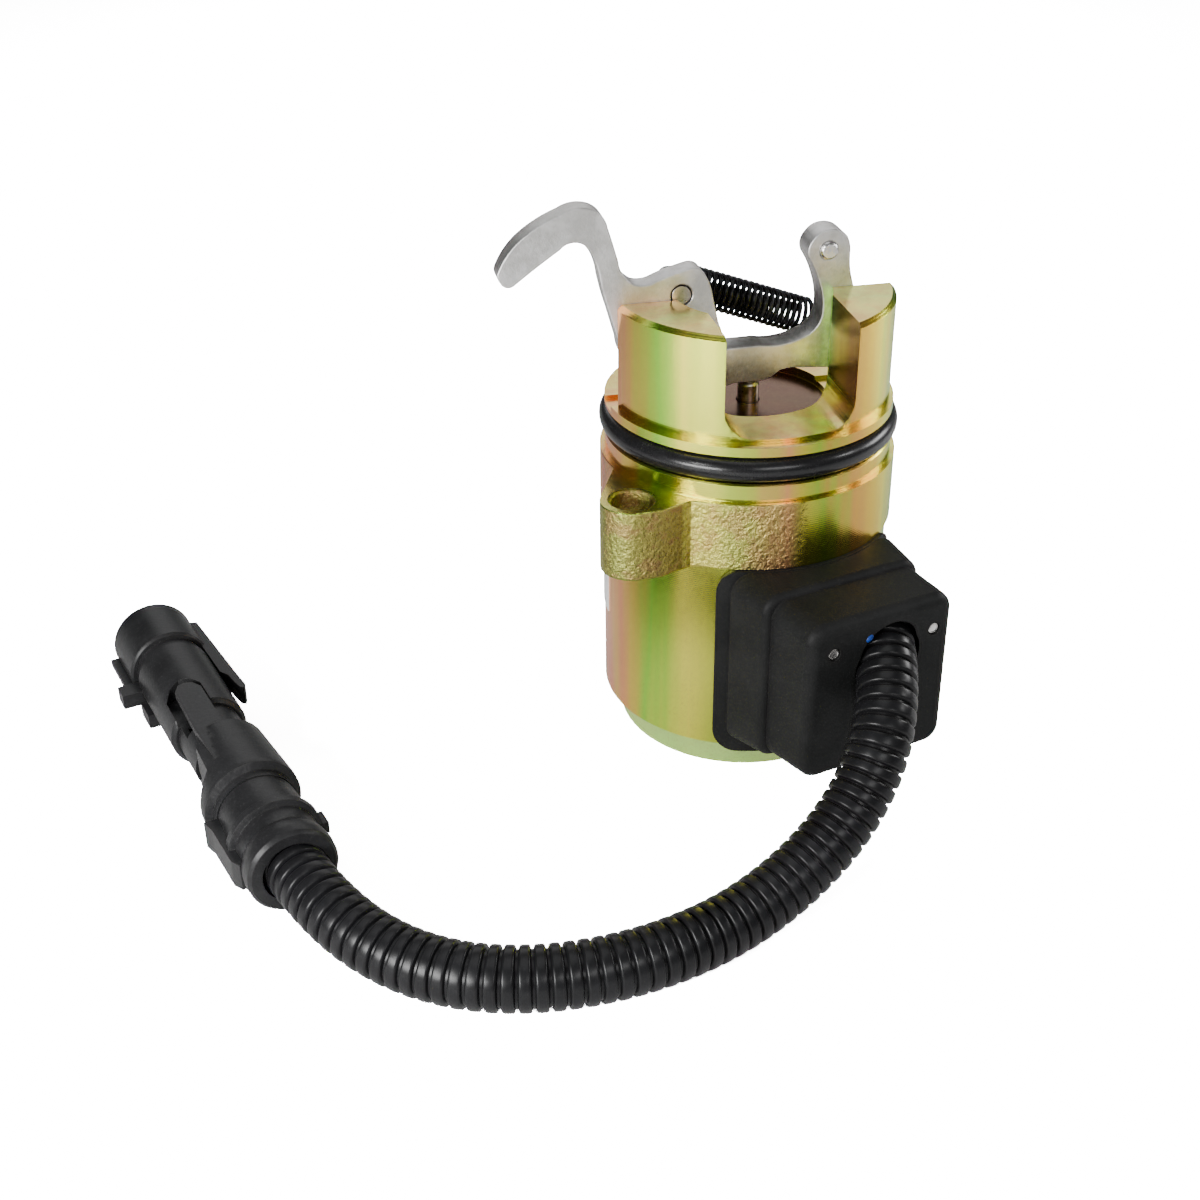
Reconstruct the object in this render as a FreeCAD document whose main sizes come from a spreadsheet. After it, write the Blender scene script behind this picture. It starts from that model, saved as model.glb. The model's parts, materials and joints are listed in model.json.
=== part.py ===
import FreeCAD
import Part
import Sketcher
import math
import os

# Fuel shutoff solenoid, in mm. The origin is the middle of the base's lower face, on the floor.
# +Z runs up the body, +X runs along the plane of the two levers towards the rocker, -Y is the slot side.

V = FreeCAD.Vector
os.makedirs("parts", exist_ok=True)
doc = FreeCAD.newDocument("fuel_shutoff_solenoid")
sheet = doc.addObject("Spreadsheet::Sheet", "Sizes")

SIZES = [
    # body, radii
    ("flange_rad", 23.05, "spigot flanges beside the seal ring"),
    ("shoulder_wide", 0.8, "collar of the head, outside the flanges"),
    ("groove_deep", 3.05, "depth of the seal ring groove"),
    ("seal_wire_rad", 1.95, "section of the seal ring"),
    ("tower_inset", 0.65, "towers, inside the flanges"),
    ("tower_shift_x", 0.4, "centre of the tower arc, along X"),
    ("tower_shift_y", 1.2, "centre of the tower arc, along Y"),
    ("head_bore_rad", 12.6, "round pocket around the push pin"),
    ("can_over", 0.2, "can, outside the flanges"),
    ("can_wall", 2.0, "wall of the can"),
    ("lip_tall", 1.0, "rolled lip, height"),
    ("base_inset", 2.85, "base plate's visible disc, inside the can's outside"),
    ("spigot_gap", 0.05, "between the can and the head's spigot in it"),
    # body, heights
    ("can_low", 5.6, "lower edge of the can"),
    ("base_top", 9.0, "upper face of the base plate"),
    ("head_low", 33.95, "lower face of the head's spigot"),
    ("collar_low", 39.2, "lower face of the collar"),
    ("shoulder", 50.3, "seat of the collar and of the ear"),
    ("groove_low", 53.3, "groove, lower side"),
    ("groove_high", 57.5, "groove, upper side"),
    ("ledge", 59.3, "ledge outside the towers"),
    ("pocket_floor", 57.4, "floor around the push pin"),
    ("strip_floor", 58.3, "floor under the levers"),
    ("rear_floor", 58.9, "floor behind the levers"),
    ("tower_top", 75.8, "top of the towers"),
    ("tower_back", -2.05, "back plane of the towers, Y"),
    ("strip_back", 3.1, "back edge of the strip under the levers, Y"),
    ("slot_left", -9.3, "slot between the towers, left wall"),
    ("slot_right", 11.4, "slot between the towers, right wall"),
    ("slot_floor", 59.9, "slot between the towers, floor"),
    ("slot_round", 4.0, "rounded lower corners of the slot"),
    # ear
    ("ear_x", -22.9, "hole of the ear"),
    ("ear_y", -17.0, "hole of the ear"),
    ("ear_rad", 5.0, "round end of the ear"),
    ("ear_low", 38.8, "lower face of the ear"),
    ("ear_hole_rad", 3.3, "clearance hole for an M6 screw"),
    # coil and plunger
    ("core_bore_rad", 9.0, "bore that takes the core and the plunger"),
    ("tube_wall", 0.45, "wall of the brass guide tube"),
    ("core_low", 26.6, "lower face of the fixed core"),
    ("core_high", 50.0, "upper face of the fixed core"),
    ("plunger_top", 24.0, "upper face of the plunger at rest"),
    ("pin_rad", 1.73, "push pin"),
    ("pin_top", 61.07, "tip of the push pin at rest"),
    ("bush_rad", 3.48, "guide bush, outside"),
    ("bush_hole_rad", 1.78, "guide bush, bore"),
    ("bobbin_gap", 0.25, "between the can and the bobbin's flanges"),
    ("winding_gap", 1.65, "between the can and the winding"),
    ("bush_deep", 2.4, "top of the guide bush, below the pocket's floor"),
    ("fit", 0.05, "radial running clearance"),
    ("pocket_rad", 5.0, "spring pockets of the core and the plunger"),
    ("core_pocket", 3.4, "depth of the core's spring pocket"),
    ("plunger_pocket", 2.0, "depth of the plunger's spring pocket"),
    ("pin_hold", 10.0, "depth of the push pin's seat in the plunger"),
    ("flange_wall", 1.2, "flanges of the bobbin"),
    ("window_low", 27.0, "window of the can, lower side"),
    ("window_high", 33.0, "window of the can, upper side"),
    ("window_half", 5.0, "window of the can, half width"),
    ("return_rad", 4.2, "return spring, middle of the wire"),
    ("return_wire", 0.45, "return spring, wire radius"),
    # levers
    ("lever_front", -1.95, "front face of both levers, Y"),
    ("rocker_back", 2.95, "rear face of the rocker, Y"),
    ("hook_back", 1.95, "rear face of the hook lever, Y"),
    ("rocker_x", 15.2, "pivot of the rocker"),
    ("rocker_z", 66.6, "pivot of the rocker"),
    ("hook_x", -16.0, "pivot of the hook lever"),
    ("hook_z", 69.5, "pivot of the hook lever"),
    ("hook_reach", 23.9, "hook lever, from its pivot to its tip along X"),
    ("rocker_reach", 18.4, "rocker, from its pivot to its top"),
    ("pivot_rad", 2.0, "both pivot pins"),
    ("post_x", -11.7, "spring pin of the hook lever"),
    ("post_z", 76.4, "spring pin of the hook lever"),
    ("post_rad", 1.5, "spring pin of the hook lever"),
    ("stud_x", 11.6, "stud at the top of the rocker"),
    ("stud_z", 81.7, "stud at the top of the rocker"),
    ("stud_rad", 1.45, "stud at the top of the rocker"),
    ("spring_y", 6.4, "plane of the tension spring"),
    ("spring_rad", 2.75, "tension spring, middle of the wire"),
    ("spring_wire", 0.4, "tension spring, wire radius"),
    ("spring_pitch", 1.0, "tension spring, pitch"),
    ("spring_lead", 4.2, "from each pin's centre to the first coil"),
    # cover
    ("cover_turn", -75.0, "direction of the cover around Z, degrees"),
    ("cover_side", 0.75, "middle of the cover's box, across"),
    ("cover_half", 12.9, "half width of the box's front face"),
    ("cover_proud", 16.25, "front face of the cover's box, outside the can"),
    ("cover_low", 11.0, "lower side of the box's front face"),
    ("cover_high", 38.0, "upper side of the box's front face"),
    ("foot_half", 14.0, "half width of the wider foot behind the box"),
    ("foot_proud", 6.5, "front of the foot, outside the can"),
    ("foot_low", 9.9, "lower side of the foot's front"),
    ("cover_corner", 3.0, "rounding of the foot's and the box's corners"),
    ("foot_draft", 1.2, "taper of the foot, each side"),
    ("box_draft", 1.0, "taper of the box, to the left and below"),
    ("skirt_span", 82.0, "angle that the skirt covers, degrees"),
    ("skirt_wall", 1.2, "wall of the skirt"),
    ("box_wall", 1.7, "wall of the box"),
    ("entry_z", 30.6, "conduit hole"),
    ("entry_rad", 5.15, "conduit hole"),
    ("entry_above", 1.9, "room above the conduit in its hole"),
    ("rivet_rad", 0.95, "small rivets of the cover"),
    # label
    ("label_turn", 151.0, "middle of the label around Z, degrees"),
    ("label_span", 63.0, "angle that the label covers, degrees"),
    ("label_tall", 14.5, "height of the label"),
    # conduit and connector
    ("conduit_rad", 4.7, "outside of the corrugated conduit"),
    ("conduit_wall", 1.0, "wall of the conduit"),
    ("wire_rad", 0.85, "lead wires"),
    ("lead_rise", 1.35, "each lead wire, above or below the middle of the conduit's mouth"),
    ("plug_x", -79.0, "rear end of the connector"),
    ("plug_y", -42.5, "rear end of the connector"),
    ("plug_z", 8.0, "axis of the connector above the floor"),
    ("plug_turn", 106.5, "direction of the connector around Z, degrees"),
    ("barrel_rad", 7.0, "front barrel of the connector"),
]

K = {}
for row, (alias, value, note) in enumerate(SIZES, start=1):
    sheet.set("A%d" % row, alias)
    sheet.set("B%d" % row, str(value))
    sheet.set("C%d" % row, note)
    sheet.setAlias("B%d" % row, alias)
doc.recompute()


class Size:
    """A number with the expression that binds it to the sheet."""

    def __init__(self, value, text=None):
        self.value = float(value)
        self.text = text if text is not None else "%.6f" % self.value
        self.bound = text is not None

    def _join(self, other, sign, value):
        other = other if isinstance(other, Size) else Size(other)
        text = "(%s %s %s)" % (self.text, sign, other.text)
        return Size(value, text if self.bound or other.bound else None)

    def __add__(self, other):
        return self._join(other, "+", self.value + float(other))

    def __sub__(self, other):
        return self._join(other, "-", self.value - float(other))

    def __mul__(self, other):
        return self._join(other, "*", self.value * float(other))

    def __truediv__(self, other):
        return self._join(other, "/", self.value / float(other))

    def __neg__(self):
        return Size(0.0) - self

    def __radd__(self, other):
        return Size(other) + self

    def __rsub__(self, other):
        return Size(other) - self

    def __float__(self):
        return self.value


for alias, value, note in SIZES:
    K[alias] = Size(float(sheet.get(alias)), "Sizes." + alias)

# Radii that follow from the flanges and the clearances.
K["collar_rad"] = K["flange_rad"] + K["shoulder_wide"]
K["groove_rad"] = K["flange_rad"] - K["groove_deep"]
K["tower_rad"] = K["flange_rad"] - K["tower_inset"]
K["can_rad"] = K["flange_rad"] + K["can_over"]
K["can_bore"] = K["can_rad"] - K["can_wall"]
K["base_rad"] = K["can_rad"] - K["base_inset"]
K["head_spigot_rad"] = K["can_bore"] - K["spigot_gap"]
K["bobbin_flange_rad"] = K["can_bore"] - K["bobbin_gap"]
K["winding_rad"] = K["can_bore"] - K["winding_gap"]
K["cover_reach"] = K["can_rad"] + K["cover_proud"]
K["foot_reach"] = K["can_rad"] + K["foot_proud"]


def k(alias):
    return K[alias]


def n(alias):
    return K[alias].value


def bind(obj, prop, size):
    """Sets a property to a size, bound to the sheet where it has an expression."""
    size = size if isinstance(size, Size) else Size(size)
    setattr(obj, prop, size.value)
    if size.bound:
        obj.setExpression(prop, size.text)


def datum(sketch, kind, refs, size):
    """Adds one dimension, bound to the sheet where the size is."""
    size = size if isinstance(size, Size) else Size(size)
    index = sketch.addConstraint(Sketcher.Constraint(kind, *refs, size.value))
    if size.bound:
        sketch.setExpression("Constraints[%d]" % index, size.text)


def place_point(sketch, geo, pos, x, y):
    if abs(float(x)) < 1e-9:
        sketch.addConstraint(Sketcher.Constraint("PointOnObject", geo, pos, -2))
    else:
        datum(sketch, "DistanceX", (-1, 1, geo, pos), x)
    if abs(float(y)) < 1e-9:
        sketch.addConstraint(Sketcher.Constraint("PointOnObject", geo, pos, -1))
    else:
        datum(sketch, "DistanceY", (-1, 1, geo, pos), y)


def new_body(name, placement=None):
    body = doc.addObject("PartDesign::Body", name)
    body.Label = name
    if placement is not None:
        body.Placement = placement
    return body


def new_sketch(body, name, plane="XY_Plane", lift=0.0):
    sketch = body.newObject("Sketcher::SketchObject", name)
    for feature in body.Origin.OriginFeatures:
        if feature.Role == plane:
            sketch.AttachmentSupport = [(feature, "")]
    sketch.MapMode = "FlatFace"
    lift = lift if isinstance(lift, Size) else Size(lift)
    sketch.AttachmentOffset = FreeCAD.Placement(V(0, 0, lift.value), FreeCAD.Rotation())
    if lift.bound:
        sketch.setExpression("AttachmentOffset.Base.z", lift.text)
    return sketch


def draw_loop(sketch, points):
    """A closed outline of straight lines through points of sizes."""
    first = sketch.GeometryCount
    count = len(points)
    for i in range(count):
        a, b = points[i], points[(i + 1) % count]
        sketch.addGeometry(
            Part.LineSegment(V(float(a[0]), float(a[1]), 0), V(float(b[0]), float(b[1]), 0))
        )
    for i in range(count):
        j = first + (i + 1) % count
        sketch.addConstraint(Sketcher.Constraint("Coincident", first + i, 2, j, 1))
    for i, (x, y) in enumerate(points):
        place_point(sketch, first + i, 1, x, y)


def draw_rounded(sketch, x0, x1, y0, y1, rad):
    """A closed rectangle of sizes, with its four corners rounded."""
    first, r = sketch.GeometryCount, float(rad)
    corners = [(x0 + rad, y0 + rad, 180), (x1 - rad, y0 + rad, 270),
               (x1 - rad, y1 - rad, 0), (x0 + rad, y1 - rad, 90)]
    rims = []
    for x, y, start in corners:
        a, b = math.radians(start), math.radians(start + 90)
        centre = V(float(x), float(y), 0)
        circle = Part.Circle(centre, V(0, 0, 1), r)
        sketch.addGeometry(Part.ArcOfCircle(circle, a, b))
        rims.append((centre + V(math.cos(a), math.sin(a), 0) * r,
                     centre + V(math.cos(b), math.sin(b), 0) * r))
    for i in range(4):
        line = sketch.addGeometry(Part.LineSegment(rims[i][1], rims[(i + 1) % 4][0]))
        sketch.addConstraint(Sketcher.Constraint("Tangent", first + i, 2, line, 1))
        sketch.addConstraint(Sketcher.Constraint("Tangent", line, 2, first + (i + 1) % 4, 1))
    for i, (x, y, _) in enumerate(corners):
        place_point(sketch, first + i, 3, x, y)
        datum(sketch, "Radius", (first + i,), rad)


def draw_circle(sketch, x, y, rad):
    geo = sketch.addGeometry(
        Part.Circle(V(float(x), float(y), 0), V(0, 0, 1), float(rad))
    )
    if abs(float(x)) < 1e-9 and abs(float(y)) < 1e-9:
        sketch.addConstraint(Sketcher.Constraint("Coincident", geo, 3, -1, 1))
    else:
        place_point(sketch, geo, 3, x, y)
    datum(sketch, "Radius", (geo,), rad)


def revolve(body, name, points, angle=360.0):
    """Turns an outline of (radius, height) points around Z."""
    sketch = new_sketch(body, name + "_outline", "XZ_Plane")
    draw_loop(sketch, points)
    feature = body.newObject("PartDesign::Revolution", name)
    feature.Profile = sketch
    feature.ReferenceAxis = (sketch, ["V_Axis"])
    bind(feature, "Angle", angle)
    if float(angle) < 360.0:
        feature.Midplane = True
    body.Tip = feature
    return feature


def extrude(body, name, sketch, length, cut=False, back=False):
    kind = "PartDesign::Pocket" if cut else "PartDesign::Pad"
    feature = body.newObject(kind, name)
    feature.Profile = sketch
    bind(feature, "Length", length)
    feature.Reversed = back
    body.Tip = feature
    return feature


def pick(body, wanted):
    """Names of the tip's edges whose middle point and direction the test accepts."""
    doc.recompute()
    shape = body.Tip.Shape
    found = []
    for index, edge in enumerate(shape.Edges, start=1):
        middle = edge.valueAt((edge.FirstParameter + edge.LastParameter) / 2)
        if wanted(edge, middle):
            found.append("Edge%d" % index)
    return found


def dress(body, name, kind, size, wanted):
    names = pick(body, wanted)
    if not names:
        raise RuntimeError("no edge for " + name)
    last = body.Tip
    feature = body.newObject("PartDesign::" + kind, name)
    feature.Base = (last, names)
    bind(feature, "Radius" if kind == "Fillet" else "Size", size)
    body.Tip = feature
    return feature


def solid(name, shape, placement=None):
    """A piece whose form no parametric feature draws, kept as one shape."""
    piece = doc.addObject("Part::Feature", name)
    piece.Label = name
    piece.Shape = shape
    if placement is not None:
        piece.Placement = placement
    return piece


def along(edge, axis):
    """True where a straight edge runs along an axis."""
    if not isinstance(edge.Curve, (Part.Line, Part.LineSegment)):
        return False
    a, b = edge.Vertexes[0].Point, edge.Vertexes[-1].Point
    d = (b - a).normalize()
    return abs(d.dot(axis)) > 0.999


X_AXIS, Y_AXIS, Z_AXIS = V(1, 0, 0), V(0, 1, 0), V(0, 0, 1)


# The cast and turned head, with the seal groove, the mounting ear and the two towers.
def make_head():
    body = new_body("head")
    core = k("core_bore_rad")
    bush, mouth = k("bush_rad") + 0.02, k("pin_rad") + 0.2
    bush_top = k("pocket_floor") - k("bush_deep")
    revolve(body, "head_turned", [
        (core, k("head_low")),
        (k("head_spigot_rad"), k("head_low")),
        (k("head_spigot_rad"), k("collar_low")),
        (k("collar_rad"), k("collar_low")),
        (k("collar_rad"), k("shoulder")),
        (k("flange_rad"), k("shoulder")),
        (k("flange_rad"), k("groove_low")),
        (k("groove_rad"), k("groove_low")),
        (k("groove_rad"), k("groove_high")),
        (k("flange_rad"), k("groove_high")),
        (k("flange_rad"), k("ledge")),
        (mouth, k("ledge")),
        (mouth, bush_top),
        (bush, bush_top),
        (bush, k("core_high")),
        (core, k("core_high")),
    ])
    ear = new_sketch(body, "ear_outline", "XY_Plane", k("ear_low"))
    angles = [math.radians(a) for a in (262, 246, 230, 214, 198, 182, 166)]
    rim = [(k("ear_x") + k("ear_rad") * math.cos(a), k("ear_y") + k("ear_rad") * math.sin(a))
           for a in angles]
    draw_loop(ear, rim + [
        (k("ear_x") - 0.3, k("ear_y") + 11.6),
        (k("ear_x") + 6.5, k("ear_y") + 11.0),
        (k("ear_x") + 11.5, k("ear_y") + 2.0),
        (k("ear_x") + 11.4, k("ear_y") - 3.4),
        (k("ear_x") + 8.6, k("ear_y") - 2.5),
        (k("ear_x") + 6.4, k("ear_y") - 3.2),
        (k("ear_x") + 3.6, k("ear_y") - 4.6),
    ])
    extrude(body, "ear_pad", ear, k("shoulder") - k("ear_low"))
    step = new_sketch(body, "can_step_outline", "XY_Plane", k("ear_low") - 0.5)
    draw_circle(step, 0, 0, k("can_rad") + 0.03)
    draw_circle(step, 0, 0, k("head_spigot_rad"))
    extrude(body, "can_step", step, k("collar_low") - k("ear_low") + 0.5, cut=True, back=True)
    towers = new_sketch(body, "tower_outline", "XY_Plane", k("ledge"))
    draw_circle(towers, k("tower_shift_x"), k("tower_shift_y"), k("tower_rad"))
    extrude(body, "tower_pad", towers, k("tower_top") - k("ledge"))
    slot = new_sketch(body, "slot_outline", "XZ_Plane")
    steps = [math.radians(15 * i) for i in range(7)]
    corner = k("slot_round")
    outline = [(k("slot_left") + corner - corner * math.cos(a),
                k("slot_floor") + corner - corner * math.sin(a)) for a in steps]
    outline += [(k("slot_right") - corner + corner * math.sin(a),
                 k("slot_floor") + corner - corner * math.cos(a)) for a in steps]
    outline += [(k("slot_right"), k("tower_top") + 5), (k("slot_left"), k("tower_top") + 5)]
    draw_loop(slot, outline)
    extrude(body, "slot_cut", slot, 30.0, cut=True, back=True)
    rear = new_sketch(body, "rear_cut_outline", "XY_Plane", k("tower_top") + 1)
    draw_loop(rear, [(-30, k("tower_back")), (30, k("tower_back")), (30, 30), (-30, 30)])
    extrude(body, "rear_cut", rear, k("tower_top") + 1 - k("rear_floor"), cut=True)
    strip = new_sketch(body, "strip_outline", "XY_Plane", k("tower_top") + 1)
    draw_loop(strip, [(-30, k("tower_back")), (30, k("tower_back")),
                      (30, k("strip_back")), (-30, k("strip_back"))])
    extrude(body, "strip_cut", strip, k("tower_top") + 1 - k("strip_floor"), cut=True)
    bore = new_sketch(body, "head_bore_outline", "XY_Plane", k("tower_top") + 1)
    draw_circle(bore, 0, 0, k("head_bore_rad"))
    extrude(body, "head_bore", bore, k("tower_top") + 1 - k("pocket_floor"), cut=True)
    for label, x, z in (("rocker", "rocker_x", "rocker_z"), ("hook", "hook_x", "hook_z")):
        hole = new_sketch(body, label + "_seat_outline", "XZ_Plane", -k("tower_back"))
        draw_circle(hole, k(x), k(z), k("pivot_rad") + 0.02)
        extrude(body, label + "_seat", hole, 7.0, cut=True, back=True)
    screw = new_sketch(body, "ear_hole_outline", "XY_Plane", k("ear_low") - 1)
    draw_circle(screw, k("ear_x"), k("ear_y"), k("ear_hole_rad"))
    extrude(body, "ear_hole", screw, k("shoulder") - k("ear_low") + 2, cut=True, back=True)
    top, seat, hole_rad = n("tower_top"), n("shoulder"), n("ear_hole_rad")
    dress(body, "ear_hole_edge", "Chamfer", 0.5, lambda e, m: (
        abs(m.z - seat) < 0.01 and isinstance(e.Curve, Part.Circle)
        and abs(e.Curve.Radius - hole_rad) < 0.01))
    dress(body, "tower_edge", "Chamfer", 0.7, lambda e, m: (
        abs(m.z - top) < 0.01 and isinstance(e.Curve, Part.Circle)
        and abs(e.Curve.Radius - n("tower_rad")) < 0.01))
    dress(body, "flange_edges", "Chamfer", 0.3, lambda e, m: (
        isinstance(e.Curve, Part.Circle) and abs(e.Curve.Radius - n("flange_rad")) < 0.01
        and min(abs(m.z - n("groove_low")), abs(m.z - n("groove_high"))) < 0.01))
    return body


# Seal ring.
def make_seal():
    body = new_body("seal_ring")
    sketch = new_sketch(body, "seal_outline", "XZ_Plane")
    draw_circle(sketch, k("groove_rad") + k("seal_wire_rad") + 0.05,
                (k("groove_low") + k("groove_high")) / 2.0, k("seal_wire_rad"))
    feature = body.newObject("PartDesign::Revolution", "seal_turned")
    feature.Profile = sketch
    feature.ReferenceAxis = (sketch, ["V_Axis"])
    feature.Angle = 360.0
    body.Tip = feature
    return body


# Steel can with its rolled lower lip and the window for the leads.
def make_can():
    body = new_body("can")
    inner = k("can_bore")
    lip = k("base_rad") + 0.1
    revolve(body, "can_turned", [
        (lip, k("can_low")), (k("can_rad") - 0.6, k("can_low")),
        (k("can_rad"), k("can_low") + 0.6), (k("can_rad"), k("collar_low")),
        (inner, k("collar_low")), (inner, k("can_low") + k("lip_tall")),
        (lip, k("can_low") + k("lip_tall")),
    ])
    window = new_sketch(body, "window_outline", "XY_Plane", k("window_low"))
    turn = math.radians(n("cover_turn"))
    cx, sx = math.cos(turn), math.sin(turn)
    near, far, half = k("can_bore") - 2.0, k("can_rad") + 3.0, k("window_half")
    corners = [(near, -half), (far, -half), (far, half), (near, half)]
    draw_loop(window, [(a * cx - b * sx, a * sx + b * cx) for a, b in corners])
    extrude(body, "window_cut", window, k("window_high") - k("window_low"), cut=True, back=True)
    return body


# Steel plate that closes the can from below.
def make_base():
    body = new_body("base_plate")
    wide = k("can_bore") - k("spigot_gap") - 0.05
    step = k("can_low") + k("lip_tall")
    revolve(body, "base_turned", [
        (0, 0), (k("base_rad") - 0.6, 0), (k("base_rad"), 0.6), (k("base_rad"), step),
        (wide, step), (wide, k("base_top")), (0, k("base_top")),
    ])
    return body


# Plastic bobbin of the coil.
def make_bobbin():
    body = new_body("bobbin")
    inner, wall = k("core_bore_rad") + k("tube_wall") + k("fit"), k("flange_wall")
    rim, low, high = k("bobbin_flange_rad"), k("base_top") + 0.05, k("head_low") - 0.05
    revolve(body, "bobbin_turned", [
        (inner, low), (rim, low), (rim, low + wall), (inner + 0.9, low + wall),
        (inner + 0.9, high - wall), (rim, high - wall), (rim, high), (inner, high),
    ])
    return body


# Copper winding, one solid ring.
def make_winding():
    body = new_body("winding")
    inner = k("core_bore_rad") + k("tube_wall") + k("fit") + 0.95
    low, high = k("base_top") + k("flange_wall") + 0.1, k("head_low") - k("flange_wall") - 0.1
    revolve(body, "winding_turned", [
        (inner, low), (k("winding_rad"), low), (k("winding_rad"), high), (inner, high),
    ])
    return body


# Thin tube that guides the plunger.
def make_guide_tube():
    body = new_body("guide_tube")
    inner, outer = k("core_bore_rad"), k("core_bore_rad") + k("tube_wall")
    revolve(body, "tube_turned", [
        (inner, k("base_top") + 0.02), (outer, k("base_top") + 0.02),
        (outer, k("head_low") - 0.05), (inner, k("head_low") - 0.05),
    ])
    return body


# Fixed core, held in the head, that pulls the plunger up.
def make_core():
    body = new_body("fixed_core")
    rad, hole, pocket = k("core_bore_rad") - k("fit"), k("pin_rad") + 0.45, k("pocket_rad")
    roof = k("core_low") + k("core_pocket")
    revolve(body, "core_turned", [
        (pocket, k("core_low")), (rad, k("core_low")), (rad, k("core_high")),
        (hole, k("core_high")), (hole, roof), (pocket, roof),
    ])
    return body


# Plunger, at rest on the base plate.
def make_plunger():
    body = new_body("plunger")
    rad, hole, pocket = k("core_bore_rad") - k("fit"), k("pin_rad") + 0.01, k("pocket_rad")
    low, top = k("base_top") + 0.05, k("plunger_top")
    floor, seat = top - k("plunger_pocket"), top - k("pin_hold")
    revolve(body, "plunger_turned", [
        (0, low), (rad - 0.5, low), (rad, low + 0.5), (rad, top), (pocket, top),
        (pocket, floor), (hole, floor), (hole, seat), (0, seat),
    ])
    return body


# Push pin, pressed into the plunger, with its domed tip under the rocker's foot.
def make_push_pin():
    body = new_body("push_pin")
    rad, top, low = k("pin_rad"), k("pin_top"), k("plunger_top") - k("pin_hold") + 0.01
    revolve(body, "pin_turned", [
        (0, low), (rad, low), (rad, top - 0.85),
        (rad - 0.28, top - 0.42), (rad - 0.75, top - 0.13), (0, top),
    ])
    return body


# Bush in the head that guides the push pin.
def make_bush():
    body = new_body("guide_bush")
    top = k("pocket_floor") - k("bush_deep") - 0.02
    revolve(body, "bush_turned", [
        (k("bush_hole_rad"), k("core_high") + 0.02), (k("bush_rad"), k("core_high") + 0.02),
        (k("bush_rad"), top), (k("bush_hole_rad"), top),
    ])
    return body


def coil(rad, wire, pitch, turns, sides=6):
    """A round coil along +Z from z = 0, with a wire of few flats."""
    helix = Part.makeHelix(pitch, pitch * turns, rad)
    start = V(rad, 0, 0)
    rise = math.atan2(pitch, 2 * math.pi * rad)
    ring = []
    for i in range(sides):
        a = 2 * math.pi * (i + 0.5) / sides
        ring.append(start + V(wire * math.cos(a), -wire * math.sin(a) * math.sin(rise),
                              wire * math.sin(a) * math.cos(rise)))
    section = Part.Wire([Part.LineSegment(ring[i], ring[(i + 1) % sides]).toShape()
                         for i in range(sides)])
    return Part.Wire(helix.Edges).makePipeShell([section], True, True)


def rod(a, b, rad):
    d = b - a
    return Part.makeCylinder(rad, d.Length, a, d)


# Return spring of the plunger, in the pockets of the core and the plunger.
def make_return_spring():
    rad, wire, turns = n("return_rad"), n("return_wire"), 4
    low = n("plunger_top") - n("plunger_pocket") + wire + 0.02
    high = n("core_low") + n("core_pocket") - wire - 0.02
    shape = coil(rad, wire, (high - low) / turns, turns)
    for z in (0.0, high - low):
        shape = shape.fuse(Part.makeTorus(rad, wire, V(0, 0, z), Z_AXIS))
    shape = shape.removeSplitter()
    shape.translate(V(0, 0, low))
    return solid("return_spring", shape)


def smooth(points):
    """A closed outline through XZ points: arcs where two fit together, lines elsewhere."""
    edges, i, count = [], 0, len(points)
    ps = [V(x, 0, z) for x, z in points]
    while i < count:
        a, b, c = ps[i], ps[(i + 1) % count], ps[(i + 2) % count]
        bend = (b - a).cross(c - b).Length / max((b - a).Length * (c - b).Length, 1e-9)
        if i + 2 <= count and bend > 0.02:
            edges.append(Part.Arc(a, b, c).toShape())
            i += 2
        else:
            edges.append(Part.LineSegment(a, b).toShape())
            i += 1
    return Part.Face(Part.Wire(edges))


# Pivot and reach that each lever's outline is drawn for.
ROCKER_DRAWN = (15.2, 66.6, 18.4)
HOOK_DRAWN = (-16.0, 69.5, 23.9)


def about(points, drawn, x, z, reach):
    """The outline set with its pivot at x, z and scaled about it to a reach."""
    x0, z0, drawn_reach = drawn
    factor = reach / drawn_reach
    return [(x + (a - x0) * factor, z + (b - z0) * factor) for a, b in points]


def lever(points, front, back, holes):
    face = smooth(points)
    face.translate(V(0, front, 0))
    shape = face.extrude(V(0, back - front, 0))
    for x, z, rad in holes:
        shape = shape.cut(Part.makeCylinder(rad, 40, V(x, -20, z), Y_AXIS))
    return shape


# Rocker: foot over the push pin, pivot behind the right tower, arm with the stud.
def make_rocker():
    points = [
        (-7.9, 67.0), (-4.1, 67.05), (1.0, 67.1), (6.0, 67.15), (8.7, 68.1), (10.5, 69.8),
        (11.1, 71.8), (11.0, 74.0), (10.35, 76.6), (9.4, 79.0), (8.5, 80.6), (8.25, 82.0),
        (9.0, 83.6), (10.2, 84.65), (11.7, 85.0), (13.3, 84.7), (14.5, 83.8), (15.05, 82.4),
        (15.15, 80.8), (15.2, 79.4), (15.5, 77.6), (16.1, 75.5), (17.6, 72.0), (19.2, 69.0),
        (19.75, 66.6), (18.4, 63.3), (15.2, 62.1), (12.4, 62.4), (8.0, 62.75), (5.9, 62.8),
        (4.4, 62.5), (3.3, 61.65), (1.6, 61.1), (-3.0, 61.1), (-6.8, 61.15), (-8.5, 62.4),
        (-9.0, 64.7), (-8.7, 66.3),
    ]
    points = about(points, ROCKER_DRAWN, n("rocker_x"), n("rocker_z"), n("rocker_reach"))
    shape = lever(points, n("lever_front"), n("rocker_back"), [
        (n("rocker_x"), n("rocker_z"), n("pivot_rad") + n("fit")),
        (n("stud_x"), n("stud_z"), n("stud_rad") + 0.02)])
    return solid("rocker_lever", shape)


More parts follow.
